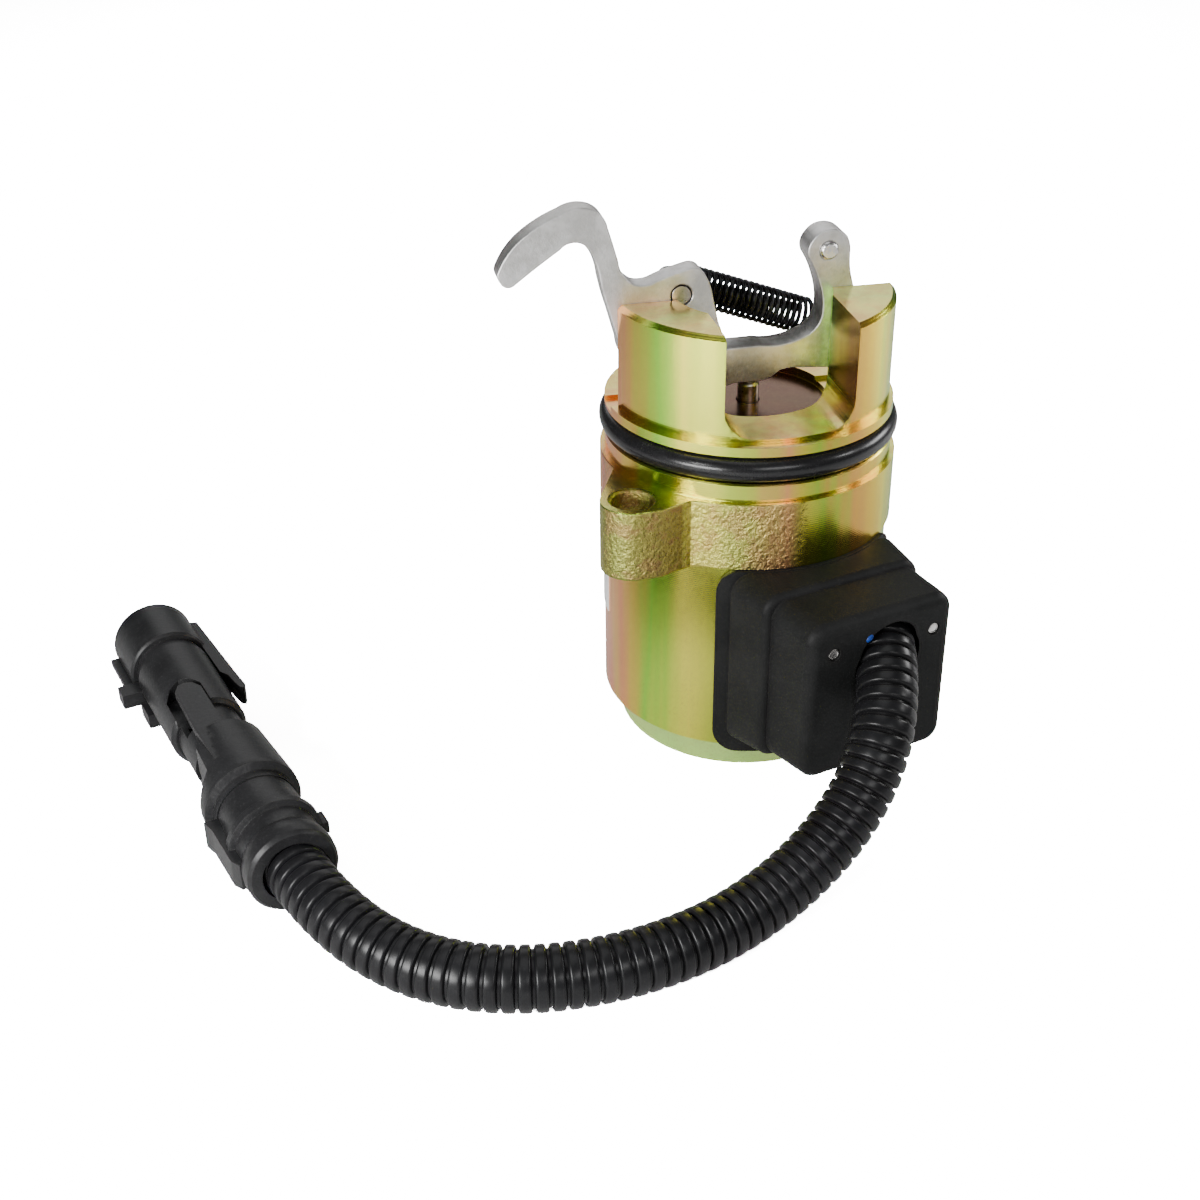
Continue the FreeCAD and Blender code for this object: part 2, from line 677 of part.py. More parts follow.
# Hook lever: hook outside the body, pivot behind the left tower, toe on the rocker's foot.
def make_hook():
    points = [
        (-39.75, 82.6), (-38.6, 84.6), (-36.6, 86.8), (-33.4, 89.0), (-30.3, 90.4),
        (-28.2, 91.15), (-26.4, 91.1), (-24.3, 90.1), (-23.1, 87.9), (-22.3, 85.3),
        (-21.5, 82.5), (-20.6, 80.1), (-19.0, 78.7), (-17.4, 78.5), (-15.6, 79.05),
        (-12.9, 79.95), (-10.4, 80.6), (-9.1, 80.5), (-8.1, 79.6), (-7.3, 78.1),
        (-6.7, 75.9), (-6.1, 73.3), (-5.5, 71.0), (-5.05, 69.2), (-5.45, 67.8),
        (-6.6, 67.09), (-7.8, 67.5), (-8.9, 69.2), (-10.6, 69.2), (-11.4, 67.2),
        (-12.9, 65.0), (-16.0, 64.0), (-19.2, 65.0), (-21.0, 67.2), (-21.6, 69.6),
        (-22.3, 72.1), (-22.95, 74.4), (-23.7, 76.9), (-24.4, 79.9), (-25.3, 83.2),
        (-26.7, 85.4), (-28.4, 85.9), (-30.4, 84.95), (-34.0, 82.5), (-37.3, 80.1),
        (-38.6, 79.75), (-39.6, 80.6), (-40.0, 81.6),
    ]
    points = about(points, HOOK_DRAWN, n("hook_x"), n("hook_z"), n("hook_reach"))
    shape = lever(points, n("lever_front"), n("hook_back"), [
        (n("hook_x"), n("hook_z"), n("pivot_rad") + n("fit")),
        (n("post_x"), n("post_z"), n("post_rad") + 0.22)])
    return solid("hook_lever", shape)


def turned_y(name, x, z, points):
    """A turned piece with its axis along Y: points are (radius, Y)."""
    body = new_body(name)
    sketch = new_sketch(body, name + "_outline", "XY_Plane")
    draw_loop(sketch, points)
    feature = body.newObject("PartDesign::Revolution", name + "_turned")
    feature.Profile = sketch
    feature.ReferenceAxis = (sketch, ["V_Axis"])
    feature.Angle = 360.0
    body.Tip = feature
    body.setExpression("Placement.Base.x", k(x).text)
    body.setExpression("Placement.Base.z", k(z).text)
    return body


def make_pins():
    rad, mid = k("pivot_rad"), k("spring_y")
    made = [turned_y("rocker_pivot_pin", "rocker_x", "rocker_z", [
        (0, -8.9), (rad - 0.4, -8.9), (rad, -8.5), (rad, k("rocker_back") + 0.05),
        (rad - 0.5, k("rocker_back") + 0.05), (rad - 0.5, k("rocker_back") + 0.75),
        (rad, k("rocker_back") + 0.75), (rad, mid - 0.75), (rad - 0.85, mid - 0.55),
        (rad - 0.85, mid + 0.55), (rad, mid + 0.75), (rad, mid + 1.5), (rad - 0.4, mid + 1.9),
        (0, mid + 1.9)])]
    made.append(turned_y("hook_pivot_pin", "hook_x", "hook_z", [
        (0, -8.9), (rad - 0.4, -8.9), (rad, -8.5), (rad, k("hook_back") + 0.05),
        (rad - 0.5, k("hook_back") + 0.05), (rad - 0.5, k("hook_back") + 0.75),
        (rad, k("hook_back") + 0.75), (rad, k("hook_back") + 1.4),
        (rad - 0.3, k("hook_back") + 1.7), (0, k("hook_back") + 1.7)]))
    rad = k("post_rad")
    made.append(turned_y("hook_spring_pin", "post_x", "post_z", [
        (0, k("lever_front") + 0.1), (rad, k("lever_front") + 0.1), (rad, k("hook_back")),
        (rad + 1.1, k("hook_back")), (rad + 1.1, k("hook_back") + 1.0),
        (rad, k("hook_back") + 1.0), (rad, mid - 0.75), (rad - 0.35, mid - 0.55),
        (rad - 0.35, mid + 0.55), (rad, mid + 0.75), (rad, mid + 1.6), (0, mid + 1.6)]))
    rad = k("stud_rad")
    made.append(turned_y("rocker_stud", "stud_x", "stud_z", [
        (0, k("lever_front") - 0.55), (rad - 0.35, k("lever_front") - 0.55),
        (rad, k("lever_front") - 0.2), (rad, k("rocker_back")),
        (rad + 0.3, k("rocker_back")), (rad, k("rocker_back") + 0.1),
        (0, k("rocker_back") + 0.1)]))
    return made


# Two open retaining clips, one in the groove of each pivot pin.
def make_clips():
    shapes = []
    for x, z, back, turn in (("rocker_x", "rocker_z", "rocker_back", 0),
                             ("hook_x", "hook_z", "hook_back", 30)):
        centre = V(n(x), n(back) + 0.1, n(z))
        inner, outer = n("pivot_rad") - 0.48, n("pivot_rad") + 1.5
        ring = Part.makeCylinder(outer, 0.6, centre, Y_AXIS)
        ring = ring.cut(Part.makeCylinder(inner, 0.6, centre, Y_AXIS))
        gap = Part.makeBox(1.9 * inner, 0.6, 10, V(-0.95 * inner, 0, -10))
        gap.rotate(V(0, 0, 0), Y_AXIS, turn)
        gap.translate(centre)
        shapes.append(ring.cut(gap))
    return solid("pivot_clips", Part.makeCompound(shapes))


# Tension spring from the hook lever's pin to the rocker's pivot pin.
def make_tension_spring():
    wire, rad, lead, pitch = n("spring_wire"), n("spring_rad"), n("spring_lead"), n("spring_pitch")
    a = V(n("post_x"), n("spring_y"), n("post_z"))
    b = V(n("rocker_x"), n("spring_y"), n("rocker_z"))
    span = (b - a).Length
    turns = round((span - 2 * lead) / pitch)
    body = coil(rad, wire, (span - 2 * lead) / turns, turns)
    body.translate(V(0, 0, lead))
    for z0, z1, far in ((1.5, lead, 0.0), (span - 1.5, span - lead, span)):
        sign = 1 if far == 0.0 else -1
        pin = n("post_rad") - 0.35 if far == 0.0 else n("pivot_rad") - 0.85
        loop = pin + wire + 0.08
        body = body.fuse(rod(V(rad, 0, z1), V(0, 0, z1), wire))
        body = body.fuse(Part.makeSphere(wire, V(0, 0, z1)))
        body = body.fuse(rod(V(0, 0, z1), V(0, 0, far + sign * loop), wire))
        body = body.fuse(Part.makeTorus(loop, wire, V(0, 0, far), Y_AXIS))
    shape = body.removeSplitter()
    turn = FreeCAD.Rotation(Z_AXIS, b - a)
    return solid("tension_spring", shape, FreeCAD.Placement(a, turn))


COVER_TURN = FreeCAD.Placement(V(0, 0, 0), FreeCAD.Rotation(Z_AXIS, n("cover_turn")))


def tapered(body, name, x0, box0, x1, box1, front_rad):
    """A block between two upright sections of the cover: each is (y0, y1, z0, z1)."""
    sections = []
    for end, x, box in (("_root", x0, box0), ("_face", x1, box1)):
        sketch = new_sketch(body, name + end, "YZ_Plane", x)
        draw_rounded(sketch, *box, k("cover_corner"))
        sections.append(sketch)
    loft = body.newObject("PartDesign::AdditiveLoft", name)
    loft.Profile = sections[0]
    loft.Sections = [sections[1]]
    loft.Ruled = True
    body.Tip = loft
    dress(body, name + "_front", "Fillet", front_rad, lambda e, m: abs(m.x - x1.value) < 0.05)


# Moulded cover: a skirt on the can, a wide foot, and the box that the conduit enters.
def make_cover():
    body = new_body("cover")
    body.Placement = COVER_TURN
    body.setExpression("Placement.Rotation.Angle", "Sizes.cover_turn")
    inner = k("can_rad") + 0.02
    outer = inner + k("skirt_wall")
    low, high = k("can_low") + 0.1, k("collar_low") - 0.1
    revolve(body, "skirt", [(inner, low), (outer, low), (outer, high), (inner, high)],
            k("skirt_span"))
    edge_r = n("can_rad") + 0.6
    dress(body, "skirt_corners", "Fillet", 4.0, lambda e, m: (
        isinstance(e.Curve, (Part.Line, Part.LineSegment)) and abs(e.Length - n("skirt_wall")) < 0.01
        and abs(math.hypot(m.x, m.y) - edge_r) < 0.3))
    wide, wall, top = k("foot_half"), k("box_wall"), k("collar_low") - 0.15
    slope = k("foot_draft")
    tapered(body, "foot", k("can_rad") - 1.75,
            (-wide - slope, wide + slope, k("foot_low") - slope, top),
            k("foot_reach"), (-wide, wide, k("foot_low"), top - 0.1), 1.3)
    left, right = k("cover_side") - k("cover_half"), k("cover_side") + k("cover_half")
    low, high, slope = k("cover_low"), k("cover_high"), k("box_draft")
    tapered(body, "box", k("foot_reach") - 2.0,
            (left - slope, right, low - slope, high + 0.2),
            k("cover_reach"), (left, right, low, high), 1.8)
    hollow = new_sketch(body, "hollow_outline", "YZ_Plane", k("cover_reach") - wall)
    draw_loop(hollow, [(left + wall, low + wall), (right - wall, low + wall),
                       (right - wall, high - 1.2), (left + wall, high - 1.2)])
    extrude(body, "hollow", hollow, k("cover_proud") + 12.0, cut=True)
    can_room = new_sketch(body, "can_room_outline", "XY_Plane")
    draw_circle(can_room, 0, 0, inner)
    extrude(body, "can_room", can_room, 60.0, cut=True, back=True)
    doc.recompute()
    return body


# The hole for the conduit follows the conduit's first run, and is a little higher than it.
def cover_hole(first, second):
    d = (second - first).normalize()
    start = first + d * 0.5
    hole = Part.makeCylinder(n("entry_rad"), 20, start, d)
    above = V(0, 0, n("entry_above"))
    return hole.fuse(Part.makeCylinder(n("entry_rad") - 0.6, 20, start + above, d))


# Reach of the cover and height of its hole that the conduit's first points are chosen for.
ROUTE_REACH, ROUTE_ENTRY = 39.5, 30.6


# The conduit's route: out of the cover, down to the floor, round to the connector.
def route():
    turn = math.radians(n("cover_turn"))
    shift = n("cover_reach") - ROUTE_REACH
    out = V(math.cos(turn) * shift, math.sin(turn) * shift, n("entry_z") - ROUTE_ENTRY)
    plug = math.radians(n("plug_turn"))
    along = V(math.cos(plug), math.sin(plug), 0)
    end = V(n("plug_x"), n("plug_y"), n("plug_z"))
    floor = n("conduit_rad") + 0.05
    points = [V(13.4, -31.1, 30.9) + out, V(10.5, -45.0, 26.9) + out, V(2.9, -53.5, 14.0) + out]
    points += [V(x, y, floor) for x, y in ((-13.7, -61.3), (-33.1, -68.8), (-52.7, -68.5),
                                           (-67.4, -60.0))]
    return points + [end - along * 4.5, end + along * 10.0]


PATH = route()


def cord_wire(points):
    """Straight runs joined by tangent arcs; prints each bend's radius."""
    ps = points
    edges, here, radii = [], ps[0], []
    for a, b, c in zip(ps, ps[1:], ps[2:]):
        u1, u2 = (b - a).normalize(), (c - b).normalize()
        turn = u1.getAngle(u2)
        back = 0.45 * min((b - a).Length, (c - b).Length)
        radius = back / math.tan(turn / 2)
        radii.append(radius)
        p, q = b - u1 * back, b + u2 * back
        inward = (u2 - u1).normalize()
        middle = b + inward * (radius / math.cos(turn / 2) - radius)
        edges.append(Part.LineSegment(here, p).toShape())
        edges.append(Part.Arc(p, middle, q).toShape())
        here = q
    edges.append(Part.LineSegment(here, ps[-1]).toShape())
    wire = Part.Wire(edges)
    print("conduit length %.1f mm, bend radii %s" % (
        wire.Length, ", ".join("%.1f" % r for r in radii)))
    return wire


def pipe(wire, rad):
    start = wire.Edges[0].valueAt(wire.Edges[0].FirstParameter)
    d = wire.Edges[0].tangentAt(wire.Edges[0].FirstParameter)
    ring = Part.Wire([Part.Circle(start, d, rad).toShape()])
    return wire.makePipeShell([ring], True, False)


def make_conduit():
    wire = cord_wire(PATH)
    shape = pipe(wire, n("conduit_rad")).cut(pipe(wire, n("conduit_rad") - n("conduit_wall")))
    print("conduit volume %.1f, section times length %.1f" % (
        shape.Volume, math.pi * wire.Length
        * (n("conduit_rad") ** 2 - (n("conduit_rad") - n("conduit_wall")) ** 2)))
    return solid("conduit", shape)


# Lead wires from the winding through the can's window into the conduit.
def make_leads():
    made = []
    turn = math.radians(n("cover_turn"))
    u = V(math.cos(turn), math.sin(turn), 0)
    a, b = PATH[0], PATH[1]
    d = (b - a).normalize()
    up = d.cross(Z_AXIS.cross(d)).normalize()
    for name, rise in (("lead_wire_blue", n("lead_rise")), ("lead_wire_red", -n("lead_rise"))):
        start = u * (n("winding_rad") + 0.95) + V(0, 0, n("entry_z") + rise)
        out = u * (n("can_rad") + 2.2) + V(0, 0, n("entry_z") + rise)
        join = a + up * rise - d * 1.6
        end = a + up * rise + d * 7.5
        wire = Part.Wire([Part.LineSegment(start, out).toShape(),
                          Part.LineSegment(out, join).toShape(),
                          Part.LineSegment(join, end).toShape()])
        ring = Part.Wire([Part.Circle(start, u, n("wire_rad")).toShape()])
        made.append(solid(name, wire.makePipeShell([ring], True, False, 2)))
    return made


def rivet_places():
    middle, half, high = n("cover_side"), n("cover_half"), n("cover_high")
    return (middle - half + 4.25, high - 5.1), (middle + half - 3.45, high - 5.6)


# Two small rivets in the front face of the cover.
def make_rivets():
    turn = FreeCAD.Rotation(Z_AXIS, n("cover_turn"))
    front = n("cover_reach")
    shapes = []
    for y, z in rivet_places():
        head = Part.makeCylinder(n("rivet_rad"), 0.9, V(front - 1.0, y, z), X_AXIS)
        head = head.makeFillet(0.35, [e for e in head.Edges if isinstance(e.Curve, Part.Circle)
                                      and abs(e.Curve.Center.x - front + 0.1) < 0.01])
        shank = Part.makeCylinder(0.55, 1.3, V(front - 2.2, y, z), X_AXIS)
        piece = head.fuse(shank).removeSplitter()
        piece.Placement = FreeCAD.Placement(V(0, 0, 0), turn)
        shapes.append(piece)
    return solid("cover_rivets", Part.makeCompound(shapes))


def rivet_room():
    turn = FreeCAD.Rotation(Z_AXIS, n("cover_turn"))
    front = n("cover_reach")
    shapes = []
    for y, z in rivet_places():
        room = Part.makeCylinder(n("rivet_rad") + 0.12, 5, V(front - 1.0, y, z), X_AXIS)
        room = room.fuse(Part.makeCylinder(0.57, 3, V(front - 3.0, y, z), X_AXIS))
        room.Placement = FreeCAD.Placement(V(0, 0, 0), turn)
        shapes.append(room)
    return shapes


PLUG = FreeCAD.Placement(V(n("plug_x"), n("plug_y"), n("plug_z")),
                         FreeCAD.Rotation(Z_AXIS, n("plug_turn")))


def plug_body(name, points):
    """A turned piece of the connector: points are (distance from the rear end, radius)."""
    body = new_body(name, PLUG)
    body.setExpression("Placement.Base.x", "Sizes.plug_x")
    body.setExpression("Placement.Base.y", "Sizes.plug_y")
    body.setExpression("Placement.Base.z", "Sizes.plug_z")
    sketch = new_sketch(body, name + "_outline", "XY_Plane")
    draw_loop(sketch, points)
    feature = body.newObject("PartDesign::Revolution", name + "_turned")
    feature.Profile = sketch
    feature.ReferenceAxis = (sketch, ["H_Axis"])
    feature.Angle = 360.0
    body.Tip = feature
    return body


def plug_block(body, name, x0, x1, y0, y1, z0, z1):
    plug_plate(body, name, [(x0, y0), (x1, y0), (x1, y1), (x0, y1)], z0, z1)


def plug_plate(body, name, outline, z0, z1, cut=False):
    """A plate or a cut with that plan, from z0 to z1 of the connector."""
    sketch = new_sketch(body, name + "_outline", "XY_Plane", z0)
    draw_loop(sketch, outline)
    extrude(body, name, sketch, z1 - z0, cut=cut, back=cut)


# Connector: housing, boot with its tongue, sleeve with its lock, and the wire seal.
def make_plug():
    barrel = k("barrel_rad")
    housing = plug_body("connector_housing", [
        (32.0, 4.5), (40.8, 4.5), (40.8, 3.6), (62.0, 3.6), (62.0, barrel - 1.2),
        (76.0, barrel - 1.2), (76.0, barrel - 0.35), (75.65, barrel), (64.6, barrel),
        (64.2, barrel - 0.4), (64.2, barrel - 1.05), (62.4, barrel - 1.05), (61.9, barrel - 0.65),
        (42.2, barrel - 0.65), (41.5, barrel - 1.3), (41.5, 5.3), (32.0, 5.3),
    ])
    plug_plate(housing, "latch_arm", [
        (73.0, -6.2), (72.6, -7.4), (60.0, -8.0), (51.0, -8.4), (48.6, -8.6), (47.6, -8.1),
        (48.0, -7.5), (49.6, -7.2), (52.6, -6.9), (54.4, -6.0), (73.0, -5.6),
    ], -0.4, 3.0)
    plug_block(housing, "left_lug", 59.8, 63.2, 5.6, 9.8, -2.8, -0.2)
    plug_block(housing, "left_rib", 63.2, 74.0, 5.6, 8.3, -2.2, -1.0)
    plug_block(housing, "left_keel", 55.5, 60.4, 3.0, 6.9, -5.2, -2.6)
    plug_plate(housing, "tongue_slot", [
        (38.0, -0.9), (47.6, -0.9), (49.6, 0.4), (50.3, 2.1), (49.6, 3.8), (47.6, 5.1),
        (38.0, 5.1),
    ], 2.6, 9.0, cut=True)
    boot = plug_body("connector_boot", [
        (17.3, 5.05), (31.4, 5.05), (31.4, 5.45), (34.4, 5.45), (34.7, 6.4), (33.8, 7.0),
        (20.6, 7.75), (19.4, 7.7), (18.9, 6.5), (17.3, 6.5),
    ])
    plug_plate(boot, "slant", [
        (20.6, 9.0), (36.0, 9.0), (36.0, 1.5), (33.4, 4.2), (31.0, 5.0), (24.0, 5.3),
    ], -9.0, 9.0, cut=True)
    plug_plate(boot, "tongue", [
        (23.0, 0.2), (34.0, -0.6), (46.0, -0.6), (47.9, 0.4), (48.3, 1.6), (47.9, 2.8),
        (46.0, 3.8), (34.0, 4.1), (23.0, 3.6),
    ], 5.45, 6.55)
    plug_plate(boot, "tongue_root", [(26.0, -0.6), (31.8, -0.6), (31.8, 4.0), (26.0, 3.7)],
               4.95, 6.0)
    sleeve = plug_body("connector_sleeve", [
        (0.6, 4.85), (12.4, 4.85), (12.4, 4.2), (17.2, 4.2), (17.2, 6.35), (12.6, 6.6),
        (10.8, 6.6), (10.0, 7.4), (8.6, 7.4), (8.3, 6.5), (5.4, 6.4), (4.2, 6.9), (2.8, 7.1),
        (1.2, 7.0), (0.6, 6.5),
    ])
    plug_plate(sleeve, "side_lock", [(4.4, 5.6), (4.4, 7.0), (6.0, 7.8), (14.6, 8.0),
                                     (17.0, 8.6), (17.0, 5.6)], -3.4, 1.2)
    plug_block(sleeve, "right_tooth", 8.4, 11.6, -8.3, -5.6, -1.2, 0.8)
    seal = plug_body("wire_seal", [
        (33.0, 0), (39.5, 0), (39.5, 4.0), (38.4, 4.4), (37.0, 4.0), (35.6, 4.4), (34.4, 4.0),
        (33.0, 4.4),
    ])
    return [housing, boot, sleeve, seal]


# Two round terminals of the connector.
def make_terminals():
    shapes = []
    for y in (-2.0, 2.0):
        pin = Part.makeCylinder(0.75, 26, V(46, y, 0), X_AXIS)
        pin = pin.makeChamfer(0.3, [e for e in pin.Edges if isinstance(e.Curve, Part.Circle)
                                    and abs(e.Curve.Center.x - 72) < 0.01])
        grip = Part.makeBox(6, 2.2, 2.2, V(40.2, y - 1.1, -1.1))
        shapes.append(pin.fuse(grip).removeSplitter())
    block = Part.makeCompound(shapes)
    return solid("connector_terminals", block, PLUG)


# Block that carries the terminals in the connector.
def make_terminal_block():
    shape = Part.makeCylinder(3.55, 13.0, V(48.0, 0, 0), X_AXIS)
    for y in (-2.0, 2.0):
        shape = shape.cut(Part.makeCylinder(0.77, 40, V(40, y, 0), X_AXIS))
    return solid("terminal_carrier", shape, PLUG)


# Blank label on the can.
def make_label():
    turn = FreeCAD.Placement(V(0, 0, 0), FreeCAD.Rotation(Z_AXIS, n("label_turn")))
    body = new_body("blank_label", turn)
    body.setExpression("Placement.Rotation.Angle", "Sizes.label_turn")
    inner, high = k("can_rad") + 0.01, k("collar_low") - 3.2
    low, outer = high - k("label_tall"), inner + 0.15
    revolve(body, "label_turned", [(inner, low), (outer, low), (outer, high), (inner, high)],
            k("label_span"))
    return body


pieces = [
    make_base(), make_can(), make_bobbin(), make_winding(), make_guide_tube(), make_plunger(),
    make_push_pin(), make_return_spring(), make_core(), make_bush(), make_head(), make_seal(),
    make_rocker(), make_hook(),
]
pieces += make_pins()
pieces += [make_clips(), make_tension_spring()]
cover = make_cover()
doc.recompute()
cover_shape = cover.Shape.cut(cover_hole(PATH[0], PATH[1]))
for room in rivet_room():
    cover_shape = cover_shape.cut(room)
cover.Label = "cover_blank"
pieces += [solid("cover", cover_shape.removeSplitter()), make_rivets()]
pieces += [make_conduit()] + make_leads() + make_plug()
pieces += [make_terminals(), make_terminal_block(), make_label()]

doc.recompute()
for obj in doc.Objects:
    if "Invalid" in obj.State or "Error" in obj.State:
        raise RuntimeError("%s is not valid: %s" % (obj.Name, obj.State))
for piece in pieces:
    shape = piece.Shape
    if shape.isNull() or not shape.isValid() or not shape.Solids:
        raise RuntimeError("%s has no valid shape" % piece.Label)
    shape.exportStep("parts/%s.step" % piece.Label)
    print("%-22s solids %d volume %.1f" % (piece.Label, len(shape.Solids), shape.Volume))
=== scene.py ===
"""Looks of the fuel shutoff solenoid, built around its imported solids. Everything is in metres."""

import json
import logging
import math
from dataclasses import dataclass
from enum import Enum
from typing import Callable, Iterable, NamedTuple, Sequence

import bpy
from mathutils import Matrix, Vector

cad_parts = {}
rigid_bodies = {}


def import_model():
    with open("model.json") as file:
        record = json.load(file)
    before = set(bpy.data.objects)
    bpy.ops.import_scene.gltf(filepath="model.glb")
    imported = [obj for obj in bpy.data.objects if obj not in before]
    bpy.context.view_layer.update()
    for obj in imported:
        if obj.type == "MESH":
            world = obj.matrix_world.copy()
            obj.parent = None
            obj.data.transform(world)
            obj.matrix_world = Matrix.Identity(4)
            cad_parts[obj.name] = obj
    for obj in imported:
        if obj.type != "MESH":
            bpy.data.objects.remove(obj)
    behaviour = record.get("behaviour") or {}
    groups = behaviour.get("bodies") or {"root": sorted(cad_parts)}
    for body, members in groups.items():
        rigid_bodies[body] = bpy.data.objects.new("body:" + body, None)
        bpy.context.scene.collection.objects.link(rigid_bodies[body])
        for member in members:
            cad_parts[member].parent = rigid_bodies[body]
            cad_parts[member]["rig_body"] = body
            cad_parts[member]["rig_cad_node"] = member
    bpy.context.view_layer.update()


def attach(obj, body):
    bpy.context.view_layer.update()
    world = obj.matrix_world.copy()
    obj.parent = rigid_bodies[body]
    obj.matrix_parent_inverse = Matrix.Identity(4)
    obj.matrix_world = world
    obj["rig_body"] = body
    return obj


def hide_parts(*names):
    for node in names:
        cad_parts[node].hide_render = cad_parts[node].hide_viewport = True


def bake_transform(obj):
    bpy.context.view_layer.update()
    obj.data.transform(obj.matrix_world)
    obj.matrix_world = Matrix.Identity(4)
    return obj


LOG = logging.getLogger("solenoid")
MM = 0.001
Point = tuple[float, float, float]
Colour = tuple[float, float, float]
Pair = tuple[float, float]

# The way that the cover faces, round Z from +X.
COVER_TURN = math.radians(-75.0)


class Unit(Enum):
    """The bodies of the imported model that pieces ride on."""

    HOUSING = "housing_unit"
    PLUNGER = "plunger_unit"
    ROCKER = "rocker_unit"
    HOOK = "hook_unit"


# Shader maths


class Flow:
    """A shader value that takes part in Python expressions."""

    def __init__(self, sheet: "Sheet", socket: bpy.types.NodeSocket) -> None:
        """Keeps the sheet of nodes and the socket.

        Args:
            sheet: The material's sheet of nodes.
            socket: The output socket that carries the value.
        """
        self.sheet = sheet
        self.socket = socket

    def _math(self, operation: str, *values: "Flow | float") -> "Flow":
        """Adds a Math node and returns its result."""
        return self.sheet.add("ShaderNodeMath", {"operation": operation}, dict(enumerate(values)))

    def __add__(self, other: "Flow | float") -> "Flow":
        """Sum."""
        return self._math("ADD", self, other)

    def __radd__(self, other: float) -> "Flow":
        """Sum with a number in front."""
        return self._math("ADD", other, self)

    def __sub__(self, other: "Flow | float") -> "Flow":
        """Difference."""
        return self._math("SUBTRACT", self, other)

    def __rsub__(self, other: float) -> "Flow":
        """Difference from a number."""
        return self._math("SUBTRACT", other, self)

    def __mul__(self, other: "Flow | float") -> "Flow":
        """Product."""
        return self._math("MULTIPLY", self, other)

    def __rmul__(self, other: float) -> "Flow":
        """Product with a number in front."""
        return self._math("MULTIPLY", other, self)

    def ramp(self, low: float, high: float) -> "Flow":
        """Rises smoothly from 0 at low to 1 at high."""
        return self.sheet.add(
            "ShaderNodeMapRange",
            {"interpolation_type": "SMOOTHSTEP"},
            {"Value": self, "From Min": low, "From Max": high, "To Min": 0.0, "To Max": 1.0},
        )

    def fade(self, low: float, high: float) -> "Flow":
        """Falls smoothly from 1 at low to 0 at high."""
        return 1.0 - self.ramp(low, high)


class Sheet:
    """The nodes of one material."""

    def __init__(self, name: str) -> None:
        """Starts an empty material with its output.

        Args:
            name: The material's name.
        """
        self.material = bpy.data.materials.new(name)
        self.material.use_nodes = True
        self.tree = self.material.node_tree
        self.tree.nodes.clear()
        self.output = self.tree.nodes.new("ShaderNodeOutputMaterial")

    def add(
        self,
        kind: str,
        settings: dict[str, object] | None = None,
        inputs: dict[object, object] | None = None,
        out: int | str = 0,
    ) -> Flow:
        """Adds one node.

        Args:
            kind: The node's type.
            settings: Its properties, and "stops" for a ramp.
            inputs: Values or links for its sockets, by name or number.
            out: The output to return.

        Returns:
            The wrapped output socket.
        """
        node = self.tree.nodes.new(kind)
        for key, value in (settings or {}).items():
            if key == "stops":
                elements = node.color_ramp.elements
                while len(elements) < len(value):
                    elements.new(0.5)
                for element, (place, colour) in zip(elements, value):
                    element.position = place
                    element.color = (*colour, 1.0)
            else:
                setattr(node, key, value)
        for key, value in (inputs or {}).items():
            socket = node.inputs[key]
            if isinstance(value, Flow):
                self.tree.links.new(value.socket, socket)
            elif isinstance(value, tuple) and len(value) == 3 and len(socket.default_value) == 4:
                socket.default_value = (*value, 1.0)
            else:
                socket.default_value = value
        return Flow(self, node.outputs[out])

    def place(self, scale: Point = (1.0, 1.0, 1.0)) -> Flow:
        """Object coordinates, stretched."""
        at = self.add("ShaderNodeTexCoord", out="Object")
        return self.add("ShaderNodeMapping", {}, {"Vector": at, "Scale": scale})

    def split(self, vector: Flow, axis: str) -> Flow:
        """One component of a vector."""
        return self.add("ShaderNodeSeparateXYZ", {}, {"Vector": vector}, out=axis)

    def larger(self, a: Flow, b: Flow) -> Flow:
        """The larger of two values."""
        return self.add("ShaderNodeMath", {"operation": "MAXIMUM"}, {0: a, 1: b})

    def noise(self, at: Flow, scale: float, detail: float, rough: float) -> Flow:
        """A noise value from 0 to 1."""
        return self.add(
            "ShaderNodeTexNoise",
            {},
            {"Vector": at, "Scale": scale, "Detail": detail, "Roughness": rough},
            out="Fac",
        )

    def mix(self, share: Flow, a: Flow | Colour, b: Flow | Colour) -> Flow:
        """Mixes two colours.

        Args:
            share: The part of b.
            a: The first colour.
            b: The second colour.

        Returns:
            The mixed colour.
        """
        node = self.tree.nodes.new("ShaderNodeMix")
        node.data_type = "RGBA"
        factor, first, second, result = 0, 6, 7, 2
        for number, value in ((factor, share), (first, a), (second, b)):
            if isinstance(value, Flow):
                self.tree.links.new(value.socket, node.inputs[number])
            else:
                node.inputs[number].default_value = (*value, 1.0)
        return Flow(self, node.outputs[result])

    def colours(self, value: Flow, *stops: tuple[float, Colour]) -> Flow:
        """A colour ramp."""
        return self.add("ShaderNodeValToRGB", {"stops": stops}, {"Fac": value}, out="Color")

    def bump(self, height: Flow, depth: float, under: Flow | None = None) -> Flow:
        """A bump whose height is in metres times the height value."""
        inputs: dict[object, object] = {"Height": height, "Strength": 1.0, "Distance": depth}
        if under is not None:
            inputs["Normal"] = under
        return self.add("ShaderNodeBump", {}, inputs, out="Normal")

    def surface(self, **sockets: object) -> bpy.types.Material:
        """Ends the sheet in a Principled surface.

        Args:
            **sockets: Its sockets, with underscores for spaces.

        Returns:
            The finished material.
        """
        values = {key.replace("_", " "): value for key, value in sockets.items()}
        shader = self.add("ShaderNodeBsdfPrincipled", {}, values)
        self.tree.links.new(shader.socket, self.output.inputs["Surface"])
        return self.material


# Finishes

